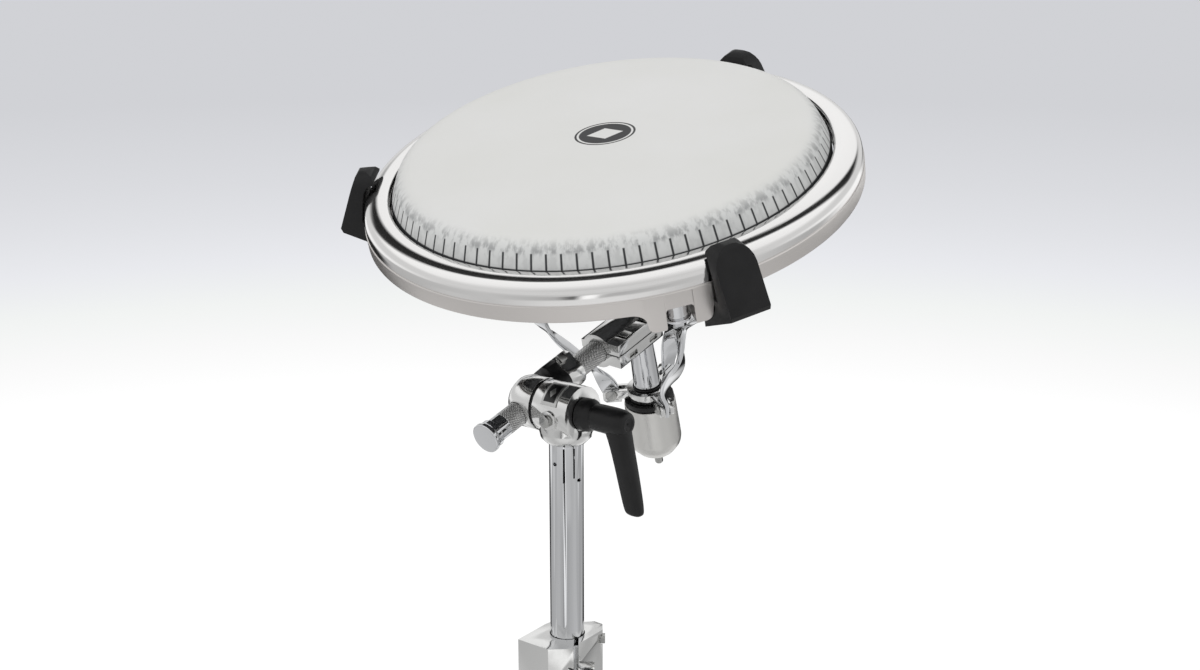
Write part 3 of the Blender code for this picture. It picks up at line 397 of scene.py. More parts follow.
# A lug's lower edge from its window's middle outwards: mm along the rim, and height
lug = eased(np.array([(0.0, WINDOW_TOP), (WINDOW_HALF, WINDOW_TOP),
                      (WINDOW_HALF + 0.3, LUG_BOTTOM), (LUG_HALF, LUG_BOTTOM),
                      (LUG_HALF + 1.4, SKIRT_BOTTOM), (LUG_REACH, SKIRT_BOTTOM)])[:, None],
            [0.1, 2.6, 1.4, 4.5, 9.0, 0.1], 9, False)[:, 0]
lug = np.concatenate([lug[:0:-1] * (-1.0, 1.0), lug])
plain = np.linspace(-1.0, 1.0, 61)[1:-1]
span = np.degrees(LUG_REACH / RIM_OUTSIDE)
angle = []
bottom = []
for heading in LUG_HEADINGS:
    angle += [heading + np.degrees(lug[:, 0] / RIM_OUTSIDE),
              heading + 60.0 + plain * (60.0 - span)]
    bottom += [lug[:, 1], np.full(len(plain), SKIRT_BOTTOM)]
angle = np.radians(np.concatenate(angle))
bottom = np.concatenate(bottom)
# A lug is thick up to LUG_HALF and thins to the skirt over LUG_FADE, along a smooth step
left = np.clip((np.abs(lug[:, 0]) - LUG_HALF) / LUG_FADE, 0.0, 1.0)
in_lug = np.concatenate([1.0 - left * left * (3.0 - 2.0 * left), np.zeros(len(plain))] * 3)
inside = RIM_INSIDE - LUG_DEPTH * in_lug
flat = np.zeros_like(angle)
# The section's corners, as radius and height, from the bore over the lip and down the skirt
corners = [(147.4 + flat, -2.6 + flat), (147.4 + flat, -0.4 + flat), (149.0 + flat, 0.5 + flat),
           (155.0 + flat, 0.5 + flat), (161.8 + flat, -1.9 + flat), (165.4 + flat, -7.0 + flat),
           (165.7 + flat, -13.4 + flat), (RIM_OUTSIDE + flat, -13.9 + flat),
           (RIM_OUTSIDE + in_lug, bottom), (inside, bottom), (inside, -14.4 + flat),
           (RIM_INSIDE + flat, -13.2 + flat), (RIM_INSIDE + flat, -6.0 + flat),
           (160.0 + flat, -3.2 + flat)]
corners = np.stack([np.stack(pair, axis=-1) for pair in corners])
section = eased(corners,
                [0.3, 0.6, 0.8, 3.5, 3.5, 3.5, 0.3, 0.25, 0.7, 0.7, 0.4, 0.4, 1.0, 1.0], 6)
rings = np.stack([section[..., 0] * np.cos(angle), section[..., 0] * np.sin(angle),
                  section[..., 1]], axis=-1)
rim = skin("polished_rim", [(laid(DRUM, rings), "loop")], alloy, 30.0)
stand_in(rim, "basket", "polished_alloy", "rim")

# The head: a synthetic film moulded into a shallow pan, with a coated, matte white face and an
# edge bent down into a crimped collar. The rim pulls that collar down over the frame's edge.
PLEATS = 96.0
PATCHES_ROUND = 190.0
PATCH_HEIGHT_MM = 9.09
CLOUD_MM = 111.1
STIPPLE_MM = 0.7143
# Places on the film, in metres along its profile from 1 mm off the middle
FRINGE_START = 0.13
FRINGE_END = 0.15
COLLAR_SHADE_START = 0.131
COLLAR_SHADE_END = 0.1425
PLEAT_START = 0.1428
PLEAT_FULL = 0.1436
# Where the painted shadow of the gap under the rim begins, and where it is full
GAP_SHADOW_START = 0.1524
GAP_SHADOW_FULL = 0.1532
# The painted shade in the crease between two pleats, from the middle outwards, as shares of a
# pleat
CREASE_SHADE_FULL = 0.045
CREASE_SHADE_END = 0.1
MARK_AT = (0.0, 5.0, 16.2)
MARK_HALF_WIDTH = 0.0205
MARK_HALF_HEIGHT = 0.0172
# Places in the mark, as shares of its half size: the oval's edge, and the ring's two edges
MARK_INK = ((0.0, 1.0), (1.0, 0.0), (0.84, 1.0), (0.86, 0.0), (0.91, 0.0), (0.93, 1.0),
            (0.985, 1.0))


def turned(profile, place, columns=96, ends="poles", steps=5):
    """Rings of a turned shape: (radius, height, reach) corners in mm, eased, swept round Z."""
    profile = np.array(profile)
    outline = eased(profile[:, None, :2], profile[:, 2], steps, ends == "loop")[:, 0]
    turn_at = np.arange(columns) * (2 * math.pi / columns)
    radius = outline[:, :1] + 0 * turn_at
    rings = np.stack([radius * np.cos(turn_at), radius * np.sin(turn_at),
                      outline[:, 1:] + 0 * turn_at], axis=-1)
    return laid(place, rings), ends


# Coated polyester film: an off-white face with a fine stipple that hides every reflection. The
# real stipple is about 0.2 mm; it is drawn as coarse as it needs to show. The collar is painted
# greyer than the top as painted shade of its slope. On it the eye sees short dark lines of
# painted shade in the creases between pleats, grey patches of painted reflection and shade, and
# at its foot a dark band of painted shadow from the gap under the rim.
film, tree, shader = material("coated_head_film", "d4d4d2", 0.0, 0.5)
shader.inputs["IOR"].default_value = 1.5
spot = add_node(tree, "TexCoord").outputs["Object"]
uv = add_node(tree, "SeparateXYZ", links={0: add_node(tree, "UVMap").outputs["UV"]})
# Pleat lines: each crease between two pleats is grooved in the height and darkened in colour as
# painted shade
turns = add_node(tree, "Math", {"operation": "MULTIPLY"}, {0: uv.outputs["X"], 1: PLEATS})
part = add_node(tree, "Math", {"operation": "PINGPONG"}, {0: turns.outputs[0], 1: 0.5})
thin = add_node(tree, "MapRange", SMOOTH,
                {"Value": part.outputs[0], "From Min": CREASE_SHADE_END, "From Max": CREASE_SHADE_FULL})
foot = add_node(tree, "MapRange", SMOOTH,
                {"Value": uv.outputs["Y"], "From Min": PLEAT_START, "From Max": PLEAT_FULL})
crease_and_shade = add_node(tree, "Math", {"operation": "MULTIPLY"},
                 {0: thin.outputs["Result"], 1: foot.outputs["Result"]})
# Painted reflection and shade: grey patches of noise on the collar, strongest in a fringe band
# along the profile
patches_round = add_node(tree, "Math", {"operation": "MULTIPLY"},
                         {0: uv.outputs["X"], 1: PATCHES_ROUND})
patches_down = add_node(tree, "Math", {"operation": "MULTIPLY"},
                        {0: uv.outputs["Y"], 1: 1000 / PATCH_HEIGHT_MM})
patches_at = add_node(tree, "CombineXYZ",
                      links={0: patches_round.outputs[0], 1: patches_down.outputs[0]})
patches = add_node(tree, "TexNoise", links={
    "Vector": patches_at.outputs[0], "Scale": 1.0, "Detail": 3.0, "Roughness": 0.6})
patches = add_node(tree, "MapRange", SMOOTH,
                   {"Value": patches.outputs["Fac"], "From Min": 0.42, "From Max": 0.62})
fringe_at = add_node(tree, "MapRange", {}, {
    "Value": uv.outputs["Y"], "From Min": FRINGE_START, "From Max": FRINGE_END})
fringe = add_node(tree, "ValToRGB", links={"Fac": fringe_at.outputs["Result"]},
                  stops=[(0.0, grey(0.0)), (1.0, grey(0.22)), (0.3, grey(0.8)),
                         (0.6, grey(1.0)), (0.72, grey(0.3))])
patches = add_node(tree, "Math", {"operation": "MULTIPLY"},
                   {0: patches.outputs["Result"], 1: fringe.outputs["Color"]})
# The collar is painted greyer than the flat top as painted shade of its slope, and it carries the
# patches
collar_shade = add_node(tree, "MapRange", SMOOTH,
                  {"Value": uv.outputs["Y"], "From Min": COLLAR_SHADE_START, "From Max": COLLAR_SHADE_END})
cloud = add_node(tree, "TexNoise",
                 links={"Vector": spot, "Scale": 1000 / CLOUD_MM, "Detail": 4.0})
cloud = add_node(tree, "ValToRGB", links={"Fac": cloud.outputs["Fac"]},
                 stops=[(0.3, linear("d2d2cf")), (0.7, linear("d7d7d6"))])
side = add_node(tree, "Mix", COLOURS,
                {0: patches.outputs[0], 6: linear("cacbca"), 7: linear("999a9a")})
body = add_node(tree, "Mix", COLOURS,
                {0: collar_shade.outputs["Result"], 6: cloud.outputs["Color"], 7: side.outputs[2]})
# Painted shadow: from the gap under the rim onwards along the profile, over the collar's foot and
# the film's whole inner face, the colour turns dark grey. The creases' painted shade takes the
# same grey
gap_shadow = add_node(tree, "MapRange", SMOOTH,
               {"Value": uv.outputs["Y"], "From Min": GAP_SHADOW_START, "From Max": GAP_SHADOW_FULL})
painted_shade = add_node(tree, "Math", {"operation": "MAXIMUM"},
               {0: crease_and_shade.outputs[0], 1: gap_shadow.outputs["Result"]})
shaded = add_node(tree, "Mix", COLOURS,
                 {0: painted_shade.outputs[0], 6: body.outputs[2], 7: linear("2c2d2f")})
grain = add_node(tree, "TexNoise",
                 links={"Vector": spot, "Scale": 1000 / STIPPLE_MM, "Detail": 2.0})
high = add_node(tree, "Math", {"operation": "MULTIPLY_ADD"},
                {0: crease_and_shade.outputs[0], 1: -3.0, 2: grain.outputs["Fac"]})
stipple = add_node(tree, "Bump", links={
    "Height": high.outputs[0], "Strength": 0.22, "Distance": 0.0002})
tree.links.new(stipple.outputs["Normal"], shader.inputs["Normal"])
# A generic printed mark: a black oval with a plain ring round it and a plain lozenge in it
spread = add_node(tree, "VectorMath", {"operation": "SUBTRACT"},
                  {0: spot, 1: tuple(laid(DRUM, np.array(MARK_AT)))})
across = add_node(tree, "VectorMath", {"operation": "DOT_PRODUCT"},
                  {0: spread.outputs[0], 1: tuple(DRUM[0][0])})
upward = add_node(tree, "VectorMath", {"operation": "DOT_PRODUCT"},
                  {0: spread.outputs[0], 1: tuple(DRUM[0][1])})
across = add_node(tree, "Math", {"operation": "DIVIDE"},
                  {0: across.outputs["Value"], 1: MARK_HALF_WIDTH})
upward = add_node(tree, "Math", {"operation": "DIVIDE"},
                  {0: upward.outputs["Value"], 1: MARK_HALF_HEIGHT})
oval = add_node(tree, "CombineXYZ", links={0: across.outputs[0], 1: upward.outputs[0]})
far = add_node(tree, "VectorMath", {"operation": "LENGTH"}, {0: oval.outputs[0]})
ring_ink = add_node(tree, "ValToRGB", {}, {"Fac": far.outputs["Value"]},
                    [(place, grey(level)) for place, level in MARK_INK])
lozenge = add_node(tree, "VectorMath", {"operation": "ABSOLUTE"}, {0: oval.outputs[0]})
lozenge = add_node(tree, "VectorMath", {"operation": "DOT_PRODUCT"},
                   {0: lozenge.outputs[0], 1: (1.7, 2.1, 0.0)})
lozenge = add_node(tree, "MapRange", {},
                   {"Value": lozenge.outputs["Value"], "From Min": 0.97, "From Max": 1.03})
mark_ink = add_node(tree, "Math", {"operation": "MULTIPLY"},
                    {0: ring_ink.outputs["Color"], 1: lozenge.outputs["Result"]})
marked = add_node(tree, "Mix", COLOURS,
                  {0: mark_ink.outputs[0], 6: shaded.outputs[2], 7: linear("1d1d1f")})
tree.links.new(marked.outputs[2], shader.inputs["Base Color"])

head = skin("moulded_head", [turned(
    [(1.0, 16.2, 0.1), (126.0, 16.2, 4.0), (133.0, 15.4, 3.0), (138.0, 12.8, 2.8),
     (141.0, 8.4, 3.0), (146.0, -3.2, 2.0), (146.3, -12.0, 0.2), (145.5, -12.0, 0.2),
     (145.2, -3.4, 2.0), (140.2, 8.0, 3.0), (137.4, 12.1, 2.8), (132.6, 14.6, 3.0),
     (126.0, 15.4, 4.0), (1.0, 15.4, 0.1)], DRUM, 288)], film, 50.0)
stand_in(head, "basket", "drum_film", "head_film")


# The flesh hoop and the bearing-edge frame inside the drum: a steel hoop that the rim presses
# down, and the turned ring over which the head is stretched, with ears for the tuning bolts.
HANDLING_PATCH_MM = 6.25
CASTING_WAVE_MM = 22.22
WELD_REACH = 0.00001
FLAT_WITHIN = math.radians(0.6)
EDGE_FROM = math.radians(34)


def plated(name, colour, roughness, wave=0.02, spread=0.03):
    """A plated metal: its roughness grows by up to spread in soft patches of noise, and its
    height waves slowly by wave times a second noise."""
    finish, tree, shader = material(name, colour, 1.0, roughness)
    spot = add_node(tree, "TexCoord").outputs["Object"]
    patches = add_node(tree, "TexNoise", links={
        "Vector": spot, "Scale": 1000 / HANDLING_PATCH_MM, "Detail": 4.0})
    worn = add_node(tree, "MapRange", links={
        "Value": patches.outputs["Fac"], "From Min": 0.35, "From Max": 0.7,
        "To Min": roughness, "To Max": roughness + spread})
    tree.links.new(worn.outputs["Result"], shader.inputs["Roughness"])
    waves = add_node(tree, "TexNoise", links={
        "Vector": spot, "Scale": 1000 / CASTING_WAVE_MM, "Detail": 1.0})
    surface = add_node(tree, "Bump", links={
        "Height": waves.outputs["Fac"], "Strength": wave, "Distance": 0.002})
    tree.links.new(surface.outputs["Normal"], shader.inputs["Normal"])
    return finish


def dress(names, finish, edge=0.35, segments=2):
    """CAD pieces whose shapes are right: welded, flats joined, edges rounded by edge mm."""
    for name in names:
        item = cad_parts[name]
        item.data.materials.clear()
        item.data.materials.append(finish)
        item.data.polygons.foreach_set("use_smooth", [True] * len(item.data.polygons))
        weld = item.modifiers.new("weld", "WELD")
        weld.merge_threshold = WELD_REACH
        flat = item.modifiers.new("flats", "DECIMATE")
        flat.decimate_type = "DISSOLVE"
        flat.angle_limit = FLAT_WITHIN
        bevel = item.modifiers.new("edges", "BEVEL")
        bevel.width = edge * 0.001
        bevel.segments = segments
        bevel.limit_method = "ANGLE"
        bevel.angle_limit = EDGE_FROM
        bevel.harden_normals = True


# Zinc-plated steel: greyer and duller than chrome. The eye sees a soft, slightly cloudy shine.
zinc = plated("zinc_plated_steel", "b4b4b2", 0.2, 0.1, 0.12)
dress(["flesh_hoop", "bearing_edge_frame"], zinc)

# The tuning bolts: chromed steel, each with a flange under its round head and a square key.
# They go up through the lugs into the frame's ears and pull the rim down.
BOLT_CIRCLE = 156.5
KEY_HALF = 2.8
KEY_TOP = -35.5
KEY_EDGE = -40.4
KEY_BOTTOM = -41.0
KEY_TIP_SCALE = 0.85
# Bright nickel-chrome on steel: nearly a mirror. The eye sees the room in it and, close by,
# fine handling marks and a faint unevenness.
chrome = plated("chrome_plating", "d6d7d9", 0.05)
for letter, heading in zip("abc", LUG_HEADINGS):
    axis = moved(DRUM, heading, (BOLT_CIRCLE, 0.0, 0.0))
    key = KEY_HALF * np.array([(-1.0, -1.0), (1.0, -1.0), (1.0, 1.0), (-1.0, 1.0)])
    key = eased(key[:, None], [0.6] * 4, 3)[:, 0]
    key = np.stack([np.concatenate([key, np.full((len(key), 1), level)], axis=1)
                    for level in (KEY_TOP, KEY_EDGE, KEY_BOTTOM)])
    key[-1, :, :2] *= KEY_TIP_SCALE
    bolt = skin("tuning_bolt_" + letter + "_body", [
        turned([(0.6, -13.6, 0.1), (2.8, -13.6, 0.3), (2.8, -24.4, 0.1), (6.4, -24.4, 0.5),
                (6.7, -25.4, 0.3), (6.7, -33.2, 0.3), (6.4, -34.1, 0.2), (8.0, -34.4, 0.4),
                (8.0, -36.4, 0.5), (0.6, -36.4, 0.1)], axis), (laid(axis, key), "poles")],
        chrome)
    stand_in(bolt, "tuning_" + letter, "chrome", "tuning_bolt_" + letter)


# The claws: black rubber blocks moulded over the arms' ends, which grip the rim from outside
# and from above. Their edges are large and soft.
RUBBED_CLOUD_MM = 11.11


def moulded(name, colour, roughness, pebble_mm, depth, shine):
    """A moulded plastic or rubber: noise as fine as its pebbles in its height, and a coarser
    cloud of noise that makes it paler and duller where it was rubbed."""
    finish, tree, shader = material(name, colour, 0.0, roughness)
    spot = add_node(tree, "TexCoord").outputs["Object"]
    cloud = add_node(tree, "TexNoise", links={
        "Vector": spot, "Scale": 1000 / RUBBED_CLOUD_MM, "Detail": 5.0})
    dark = linear(colour)
    pale = tuple(min(1.0, part * 1.7 + 0.002) for part in dark[:3]) + (1.0,)
    shade = add_node(tree, "ValToRGB", links={"Fac": cloud.outputs["Fac"]},
                     stops=[(0.4, dark), (0.8, pale)])
    tree.links.new(shade.outputs["Color"], shader.inputs["Base Color"])
    sheen = add_node(tree, "MapRange", links={
        "Value": cloud.outputs["Fac"], "From Min": 0.3, "From Max": 0.7,
        "To Min": roughness - 0.06, "To Max": roughness + 0.08})
    tree.links.new(sheen.outputs["Result"], shader.inputs["Roughness"])
    pebbles = add_node(tree, "TexNoise", links={
        "Vector": spot, "Scale": 1000 / pebble_mm, "Detail": 2.0})
    surface = add_node(tree, "Bump", links={
        "Height": pebbles.outputs["Fac"], "Strength": depth, "Distance": 0.0002})
    tree.links.new(surface.outputs["Normal"], shader.inputs["Normal"])
    shader.inputs["IOR"].default_value = 1.5
    shader.inputs["Specular IOR Level"].default_value = shine
    return finish


# Carbon-filled rubber: matte black. The eye sees a fine pebbled skin with paler rubbed patches.
rubber = moulded("black_moulded_rubber", "0f0f10", 0.5, 0.9091, 0.4, 0.3)
dress(["claw_a", "claw_b", "claw_c"], rubber, 1.8, 4)

# The arms: steel straps 13 by 3.2 mm, bent outwards and twisted once each way, chromed. Their
# rounded edges catch bright lines that cross where the strap twists.
BASKET_SHIFT = 2.4
BASKET = moved(DRUM, shift=(BASKET_SHIFT, 0.0, 0.0))
CLAW_HEADINGS = (-65.5, 54.5, 174.5)
STRAP_HALF_WIDTH = 6.5
STRAP_HALF_THICK = 1.6


def softened(route, passes):
    """A route with its corners cut: in each pass every step P to Q gives 3/4 P + 1/4 Q and
    1/4 P + 3/4 Q, between the first and the last point, which stay."""
    for _ in range(passes):
        inner = np.stack([0.75 * route[:-1] + 0.25 * route[1:],
                          0.25 * route[:-1] + 0.75 * route[1:]], axis=1)
        route = np.concatenate([route[:1], inner.reshape(-1, route.shape[1])[1:-1], route[-1:]])
    return route


def strap(reach, place):
    """Rings of a twisted strap: each point of a rounded rectangle is the route's point, plus
    its width times the wide direction, plus its thickness times the thick one. The route's rows
    are the distance from the basket's axis, the height, and the twist in degrees, by which both
    directions turn about the route."""
    route = softened(np.array([
        (24.6, -189.8, 0), (27.6, -180.8, 0), (29.8, -175.0, 10), (34.5, -165.5, 50),
        (43.5, -154.5, 80), (53.0, -143.5, 85), (61.5, -133.5, 75), (68.0, -123.5, 45),
        (71.5, -112.5, 15), (73.5, -100.0, 0), (79.0, -88.0, 0), (91.0, -78.5, 20),
        (107.0, -70.0, 60), (127.0, -59.0, 90), (reach - 20.0, -47.5, 90),
        (reach + 12.0, -29.5, 90)], float), 3)
    centre = np.stack([route[:, 0], 0 * route[:, 0], route[:, 1]], axis=-1)
    along = np.gradient(centre, axis=0)
    along /= np.linalg.norm(along, axis=1, keepdims=True)
    outward = np.stack([-along[:, 2], 0 * along[:, 0], along[:, 0]], axis=-1)
    twist = np.radians(route[:, 2:])
    wide = outward * np.cos(twist) + np.array([0.0, 1.0, 0.0]) * np.sin(twist)
    thick = np.cross(along, wide)
    box = np.array([(1.0, 1.0), (-1.0, 1.0), (-1.0, -1.0), (1.0, -1.0)])
    box = eased((box * (STRAP_HALF_WIDTH, STRAP_HALF_THICK))[:, None], [0.9] * 4, 4)[:, 0]
    rings = (centre[:, None] + wide[:, None] * box[None, :, :1]
             + thick[:, None] * box[None, :, 1:])
    return laid(place, rings), "poles"


for letter, heading in zip("abc", CLAW_HEADINGS):
    x = RIM_OUTSIDE * math.cos(math.radians(heading)) - BASKET_SHIFT
    y = RIM_OUTSIDE * math.sin(math.radians(heading))
    place = moved(BASKET, math.degrees(math.atan2(y, x)))
    arm = skin("twisted_arm_" + letter, [strap(math.hypot(x, y), place)], chrome, 60.0)
    stand_in(arm, "arm_" + letter, "chrome", "arm_" + letter)

# The arm rivets: zinc-plated steel pins with a head at both ends, each through two ears of the
# hub and the arm's foot between them. The arm swings on it.
dress(["arm_rivet_a", "arm_rivet_b", "arm_rivet_c"], zinc)

# The basket's shaft: a slightly tapered chromed tube between the bracket's boss and the hub. A
# black rubber ring seals its foot.
shaft = skin("tapered_shaft", [turned(
    [(3.3, -137.0, 0.2), (8.3, -137.0, 0.6), (9.7, -178.5, 0.5), (3.3, -178.5, 0.2)],
    BASKET, 96, "loop")], chrome)
stand_in(shaft, "basket", "chrome", "basket_shaft")
dress(["shaft_seal"], rubber, 0.8, 3)

# The hub: a chromed zinc die casting at the shaft's foot, with three pairs of ears to which the
# arms are riveted.
# Over a casting the plating is wavier than over steel: the eye sees bent, softer reflections.
casting = plated("chromed_casting", "dfdfde", 0.1, 0.05, 0.08)
dress(["basket_hub"], casting)

# The pressure disc: a thick black nylon washer over the grip nut. As the nut is turned it moves
# along the screw and its edge opens or shuts the arms.
# Glass-filled nylon: a black with a faint sheen. The eye sees a fine, even mould grain.
nylon = moulded("black_glass_filled_nylon", "0b0b0c", 0.42, 0.625, 0.3, 0.36)
dress(["pressure_disc"], nylon)

# The grip nut: a die-cast bell that the hand turns. The long screw through the shaft ends in
# it, and its tip shows below.
# Satin chrome: brushed before it was plated. The eye sees broad soft shading with no image.
satin = plated("satin_chrome", "dad9d6", 0.3, 0.02, 0.08)
nut = skin("bell_grip_nut", [turned(
    [(3.3, -193.6, 0.2), (18.6, -193.6, 0.6), (19.3, -226.0, 1.6), (18.2, -230.4, 1.6),
     (13.4, -236.6, 1.6), (10.6, -238.6, 1.0), (3.3, -238.6, 0.3)], BASKET, 128, "loop")], satin)
stand_in(nut, "nut", "polished_alloy", "grip_nut")
dress(["grip_screw"], zinc)

# The bracket: a chromed casting with a boss for the basket's shaft, and a cap that two bolts
# with nuts close on the boom rod.
dress(["bracket_base", "bracket_cap"], casting)
dress(["bracket_bolt_1", "bracket_bolt_2"], zinc)

# The boom rod: chromed steel bar, smooth at its capped end and knurled where the basket's
# bracket and the memory lock bite on it. It slides and turns in the tilter's holder.
ROD = squared((33.851, 46.098, 653.2), (0.613206, 0.73079, 0.299873),
              (-0.766044, 0.642788, 0.0))
RIDGES_ROUND = 32.0
RIDGE_LENGTH_MM = 1.7857
# Places on the bar's skin, in metres along its profile from the capped end's middle
KNURL_START = 0.0218
KNURL_END = 0.1260
KNURL_FADE = 0.0006
# Knurled chrome: two sets of crossing grooves, about 1 mm apart on the real bar and drawn as
# coarse as they need to show. The eye sees a dull grey net of small diamonds: bumps in the
# normal, with the grooves darkened in colour as painted shade.
knurled, tree, shader = material("knurled_chrome", "d6d7d9", 1.0, 0.05)
uv = add_node(tree, "SeparateXYZ", links={0: add_node(tree, "UVMap").outputs["UV"]})
turns = add_node(tree, "Math", {"operation": "MULTIPLY"}, {0: uv.outputs["X"], 1: RIDGES_ROUND})
length = add_node(tree, "Math", {"operation": "MULTIPLY"},
                  {0: uv.outputs["Y"], 1: 1000 / RIDGE_LENGTH_MM})
ridges = []
for sign in (1.0, -1.0):
    slope = add_node(tree, "Math", {"operation": "MULTIPLY_ADD"},
                     {0: length.outputs[0], 1: sign, 2: turns.outputs[0]})
    ridges.append(add_node(tree, "Math", {"operation": "PINGPONG"},
                           {0: slope.outputs[0], 1: 0.5}).outputs[0])
peaks = add_node(tree, "Math", {"operation": "MINIMUM"}, {0: ridges[0], 1: ridges[1]})
peaks = add_node(tree, "MapRange",
                 links={"Value": peaks.outputs[0], "From Min": 0.04, "From Max": 0.3})
begun = add_node(tree, "MapRange", links={
    "Value": uv.outputs["Y"], "From Min": KNURL_START, "From Max": KNURL_START + KNURL_FADE})
ended = add_node(tree, "MapRange", links={
    "Value": uv.outputs["Y"], "From Min": KNURL_END, "From Max": KNURL_END - KNURL_FADE})
cut = add_node(tree, "Math", {"operation": "MULTIPLY"},
               {0: begun.outputs["Result"], 1: ended.outputs["Result"]})
height = add_node(tree, "Math", {"operation": "MULTIPLY"},
                  {0: cut.outputs[0], 1: peaks.outputs["Result"]})
bite = add_node(tree, "Bump", links={
    "Height": height.outputs[0], "Strength": 0.6, "Distance": 0.0004})
tree.links.new(bite.outputs["Normal"], shader.inputs["Normal"])
worn = add_node(tree, "MapRange", links={"Value": cut.outputs[0], "To Min": 0.05, "To Max": 0.24})
tree.links.new(worn.outputs["Result"], shader.inputs["Roughness"])
# Painted shade: the base colour darkens in the knurl's grooves
groove_shade = add_node(tree, "ValToRGB", links={"Fac": peaks.outputs["Result"]},
                  stops=[(0.0, linear("77777a")), (0.6, linear("e6e6e4"))])
knurl_shaded = add_node(tree, "Mix", COLOURS,
                  {0: cut.outputs[0], 6: linear("d6d7d9"), 7: groove_shade.outputs["Color"]})
tree.links.new(knurl_shaded.outputs[2], shader.inputs["Base Color"])
rod = skin("turned_rod", [turned(
    [(0.6, -45.7, 0.1), (7.9, -45.7, 0.3), (7.9, 113.0, 0.4), (6.9, 114.3, 0.4),
     (0.6, 114.3, 0.1)], ROD)], knurled)
stand_in(rod, "boom", "chrome", "boom_rod")

# The rod's end cap: a chromed steel cup pressed on, with a waist and a flat face. It keeps the
# rod from sliding out of the holder.
cap = skin("pressed_end_cap", [turned(
    [(0.6, -46.0, 0.1), (8.2, -46.0, 0.1), (8.2, -39.7, 0.1), (9.2, -39.7, 0.3),
     (9.0, -43.4, 0.5), (10.0, -44.8, 0.5), (10.2, -47.3, 0.6), (9.6, -47.9, 0.4),
     (0.6, -47.9, 0.1)], ROD, 96)], chrome)
stand_in(cap, "boom", "chrome", "boom_end_cap")

# The memory lock: a split die-cast collar that its bolt closes on the rod, with a black nylon
# bushing towards the holder. It marks how far the rod may slide in.
dress(["memory_lock"], casting)
dress(["memory_lock_bolt"], zinc)
dress(["memory_lock_pad"], nylon)

# The rod holder: the moving half of the tilter, a domed casting bored across for the rod. The
# eye bolt inside it is drawn by the lever and squeezes the rod.
dress(["rod_holder"], casting)
dress(["tilt_eye_bolt"], zinc)

# The tilter's fixed half: a cast barrel on a bowl that fits over the upper tube's end and is
# held by a screw. A black nylon disc between the halves takes the clamping.
dress(["tilter_body"], casting)
dress(["tilter_screw"], zinc)
dress(["tilter_disc"], nylon)

# The badge: a small black enamelled plate bent round the tilter's barrel and glued on. It has
# a plain silver border and lozenge.
TILTER_MIDDLE = (0.0553, 0.0281, 0.6532)
BARREL_AXIS = (0.766044, -0.642788, 0.0)
BARREL_SIDE = (0.642788, 0.766044, 0.0)
BADGE_MIDDLE = math.radians(131.0)
BADGE_HALF_TURN = math.radians(29.0)
BADGE_HALF_WIDTH = 0.00625
BADGE_OFFSET = 0.04
# Enamel on bright metal: a smooth glassy black, and bare metal where the border and lozenge are
enamel, tree, shader = material("enamelled_badge", "0c0c0d", 0.0, 0.3)
spot = add_node(tree, "TexCoord").outputs["Object"]
spot = add_node(tree, "VectorMath", {"operation": "SUBTRACT"}, {0: spot, 1: TILTER_MIDDLE})
along = add_node(tree, "VectorMath", {"operation": "DOT_PRODUCT"},
                 {0: spot.outputs[0], 1: BARREL_AXIS})
sideways = add_node(tree, "VectorMath", {"operation": "DOT_PRODUCT"},
                    {0: spot.outputs[0], 1: BARREL_SIDE})
upward = add_node(tree, "SeparateXYZ", links={0: spot.outputs[0]})
turn_at = add_node(tree, "Math", {"operation": "ARCTAN2"},
                   {0: upward.outputs["Z"], 1: sideways.outputs["Value"]})
wide = add_node(tree, "Math", {"operation": "MULTIPLY_ADD"},
                {0: along.outputs["Value"], 1: 1 / BADGE_HALF_WIDTH, 2: BADGE_OFFSET})
tall = add_node(tree, "Math", {"operation": "MULTIPLY_ADD"},
                {0: turn_at.outputs[0], 1: 1 / BADGE_HALF_TURN,
                 2: -BADGE_MIDDLE / BADGE_HALF_TURN})
wide = add_node(tree, "Math", {"operation": "ABSOLUTE"}, {0: wide.outputs[0]})
tall = add_node(tree, "Math", {"operation": "ABSOLUTE"}, {0: tall.outputs[0]})
edge = add_node(tree, "Math", {"operation": "MAXIMUM"}, {0: wide.outputs[0], 1: tall.outputs[0]})
border = add_node(tree, "ValToRGB", {}, {"Fac": edge.outputs[0]},
                  [(0.0, grey(0.0)), (1.0, grey(1.0)), (0.72, grey(0.0)), (0.76, grey(1.0))])
diamond = add_node(tree, "Math", {"operation": "ADD"}, {0: wide.outputs[0], 1: tall.outputs[0]})
diamond = add_node(tree, "ValToRGB", {}, {"Fac": diamond.outputs[0]},
                   [(0.0, grey(1.0)), (1.0, grey(0.0)), (0.36, grey(1.0)), (0.42, grey(0.0))])
bright = add_node(tree, "Math", {"operation": "MAXIMUM"},
                  {0: border.outputs["Color"], 1: diamond.outputs["Color"]})
silver = add_node(tree, "Mix", COLOURS,
                  {0: bright.outputs[0], 6: linear("0c0c0d"), 7: linear("c9c9c8")})
tree.links.new(silver.outputs[2], shader.inputs["Base Color"])
tree.links.new(bright.outputs[0], shader.inputs["Metallic"])
dress(["badge_plate"], enamel, 0.15)

# The ratchet lever: glass-filled nylon moulded over its steel hub; a round hub with a groove, a
# soft elbow and a flat handle that narrows to a round end.
LEVER = (np.array([[0.0, 0.0, -1.0], [0.642788, 0.766044, 0.0], [0.766044, -0.642788, 0.0]]),
         np.array([55.3, 28.1, 653.2]))
HANDLE_POINTS = 40
HANDLE_ROUNDNESS = 0.75
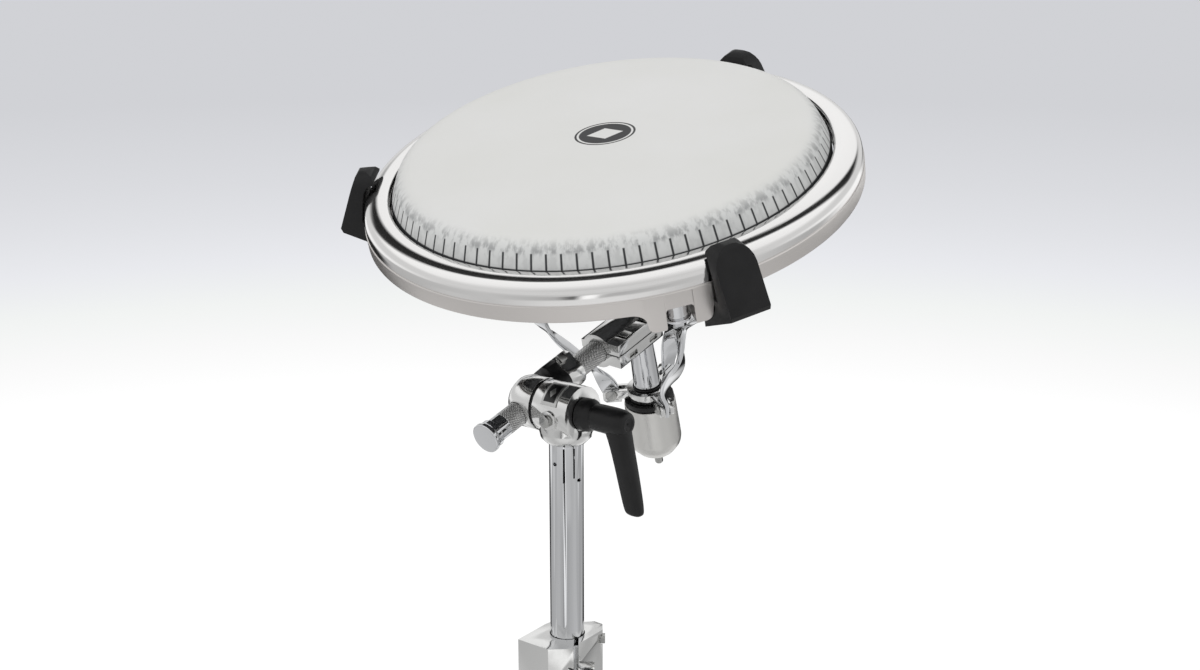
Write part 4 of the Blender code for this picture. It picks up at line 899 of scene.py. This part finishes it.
# The handle's stations: mm down from the hub's axis, out along it, half width, half thickness
stations = softened(np.array([
    (-7.6, 39.0, 3.6, 2.6), (-7.0, 39.4, 6.6, 4.8), (-3.0, 40.6, 8.2, 7.0),
    (4.0, 42.4, 8.8, 7.0), (10.0, 44.4, 8.2, 6.4), (18.0, 46.8, 7.7, 6.0),
    (28.7, 49.7, 7.5, 5.6), (42.0, 53.0, 7.3, 5.0), (52.0, 55.4, 7.0, 4.5),
    (56.6, 56.4, 6.2, 4.0), (57.6, 56.7, 4.4, 2.8)]), 3)
around = np.arange(HANDLE_POINTS) * (2 * math.pi / HANDLE_POINTS)
# A squarer circle: the cosine and the sine, each with its size raised to the roundness
broad = np.sign(np.cos(around)) * np.abs(np.cos(around)) ** HANDLE_ROUNDNESS
thick = np.sign(np.sin(around)) * np.abs(np.sin(around)) ** HANDLE_ROUNDNESS
handle = np.stack([stations[:, :1] + 0 * around, stations[:, 3:] * thick,
                   stations[:, 1:2] + stations[:, 2:3] * broad], axis=-1)
lever = skin("ratchet_lever", [turned(
    [(4.3, 14.6, 0.1), (10.4, 14.6, 0.4), (10.6, 21.0, 1.0), (8.2, 24.0, 0.5), (8.0, 25.2, 0.3),
     (8.7, 25.8, 0.4), (8.9, 40.0, 3.0), (8.6, 46.4, 2.0), (7.2, 50.6, 1.2), (4.4, 51.4, 0.4),
     (3.6, 50.6, 0.4), (0.8, 50.2, 0.1), (0.8, 32.0, 0.1), (4.3, 32.0, 0.2)],
    LEVER, 96, "loop"), (laid(LEVER, handle), "poles")], nylon, 50.0)
stand_in(lever, "lever", "black_nylon", "tilt_lever")

# The two tubes: chromed steel, the upper one slotted and drilled at its top, sliding in the
# lower one. A black nylon bushing in the lower tube's mouth keeps it from rattling.
dress(["lower_tube", "upper_tube"], chrome)
dress(["height_bushing"], nylon)

# The height clamp: a split cast block round the lower tube's mouth, which a wing bolt closes on
# the upper tube. A square-headed key bolt holds the block.
dress(["height_clamp"], casting)
dress(["clamp_key_bolt"], zinc)
dress(["height_wing_bolt"], chrome)

# The tripod's collars: moulded black nylon, the lower one fixed, the upper one sliding. A
# chromed wing bolt locks the sliding one.
dress(["lower_collar", "upper_collar"], nylon)
dress(["collar_wing_bolt"], chrome)

# The legs and braces: chromed flat steel bars, a brace being two of them joined by a web. A
# zinc-plated pin rivets each leg to its brace, so that the tripod folds along the tube.
dress(["leg_1", "leg_2", "leg_3", "brace_1", "brace_2", "brace_3"], chrome)
dress(["leg_pin_1", "leg_pin_2", "leg_pin_3"], zinc)

# The feet: black rubber shoes, moulded with soft edges and pushed over the legs' ends, so that
# the stand doesn't slip.
dress(["foot_1", "foot_2", "foot_3"], rubber, 0.8, 3)
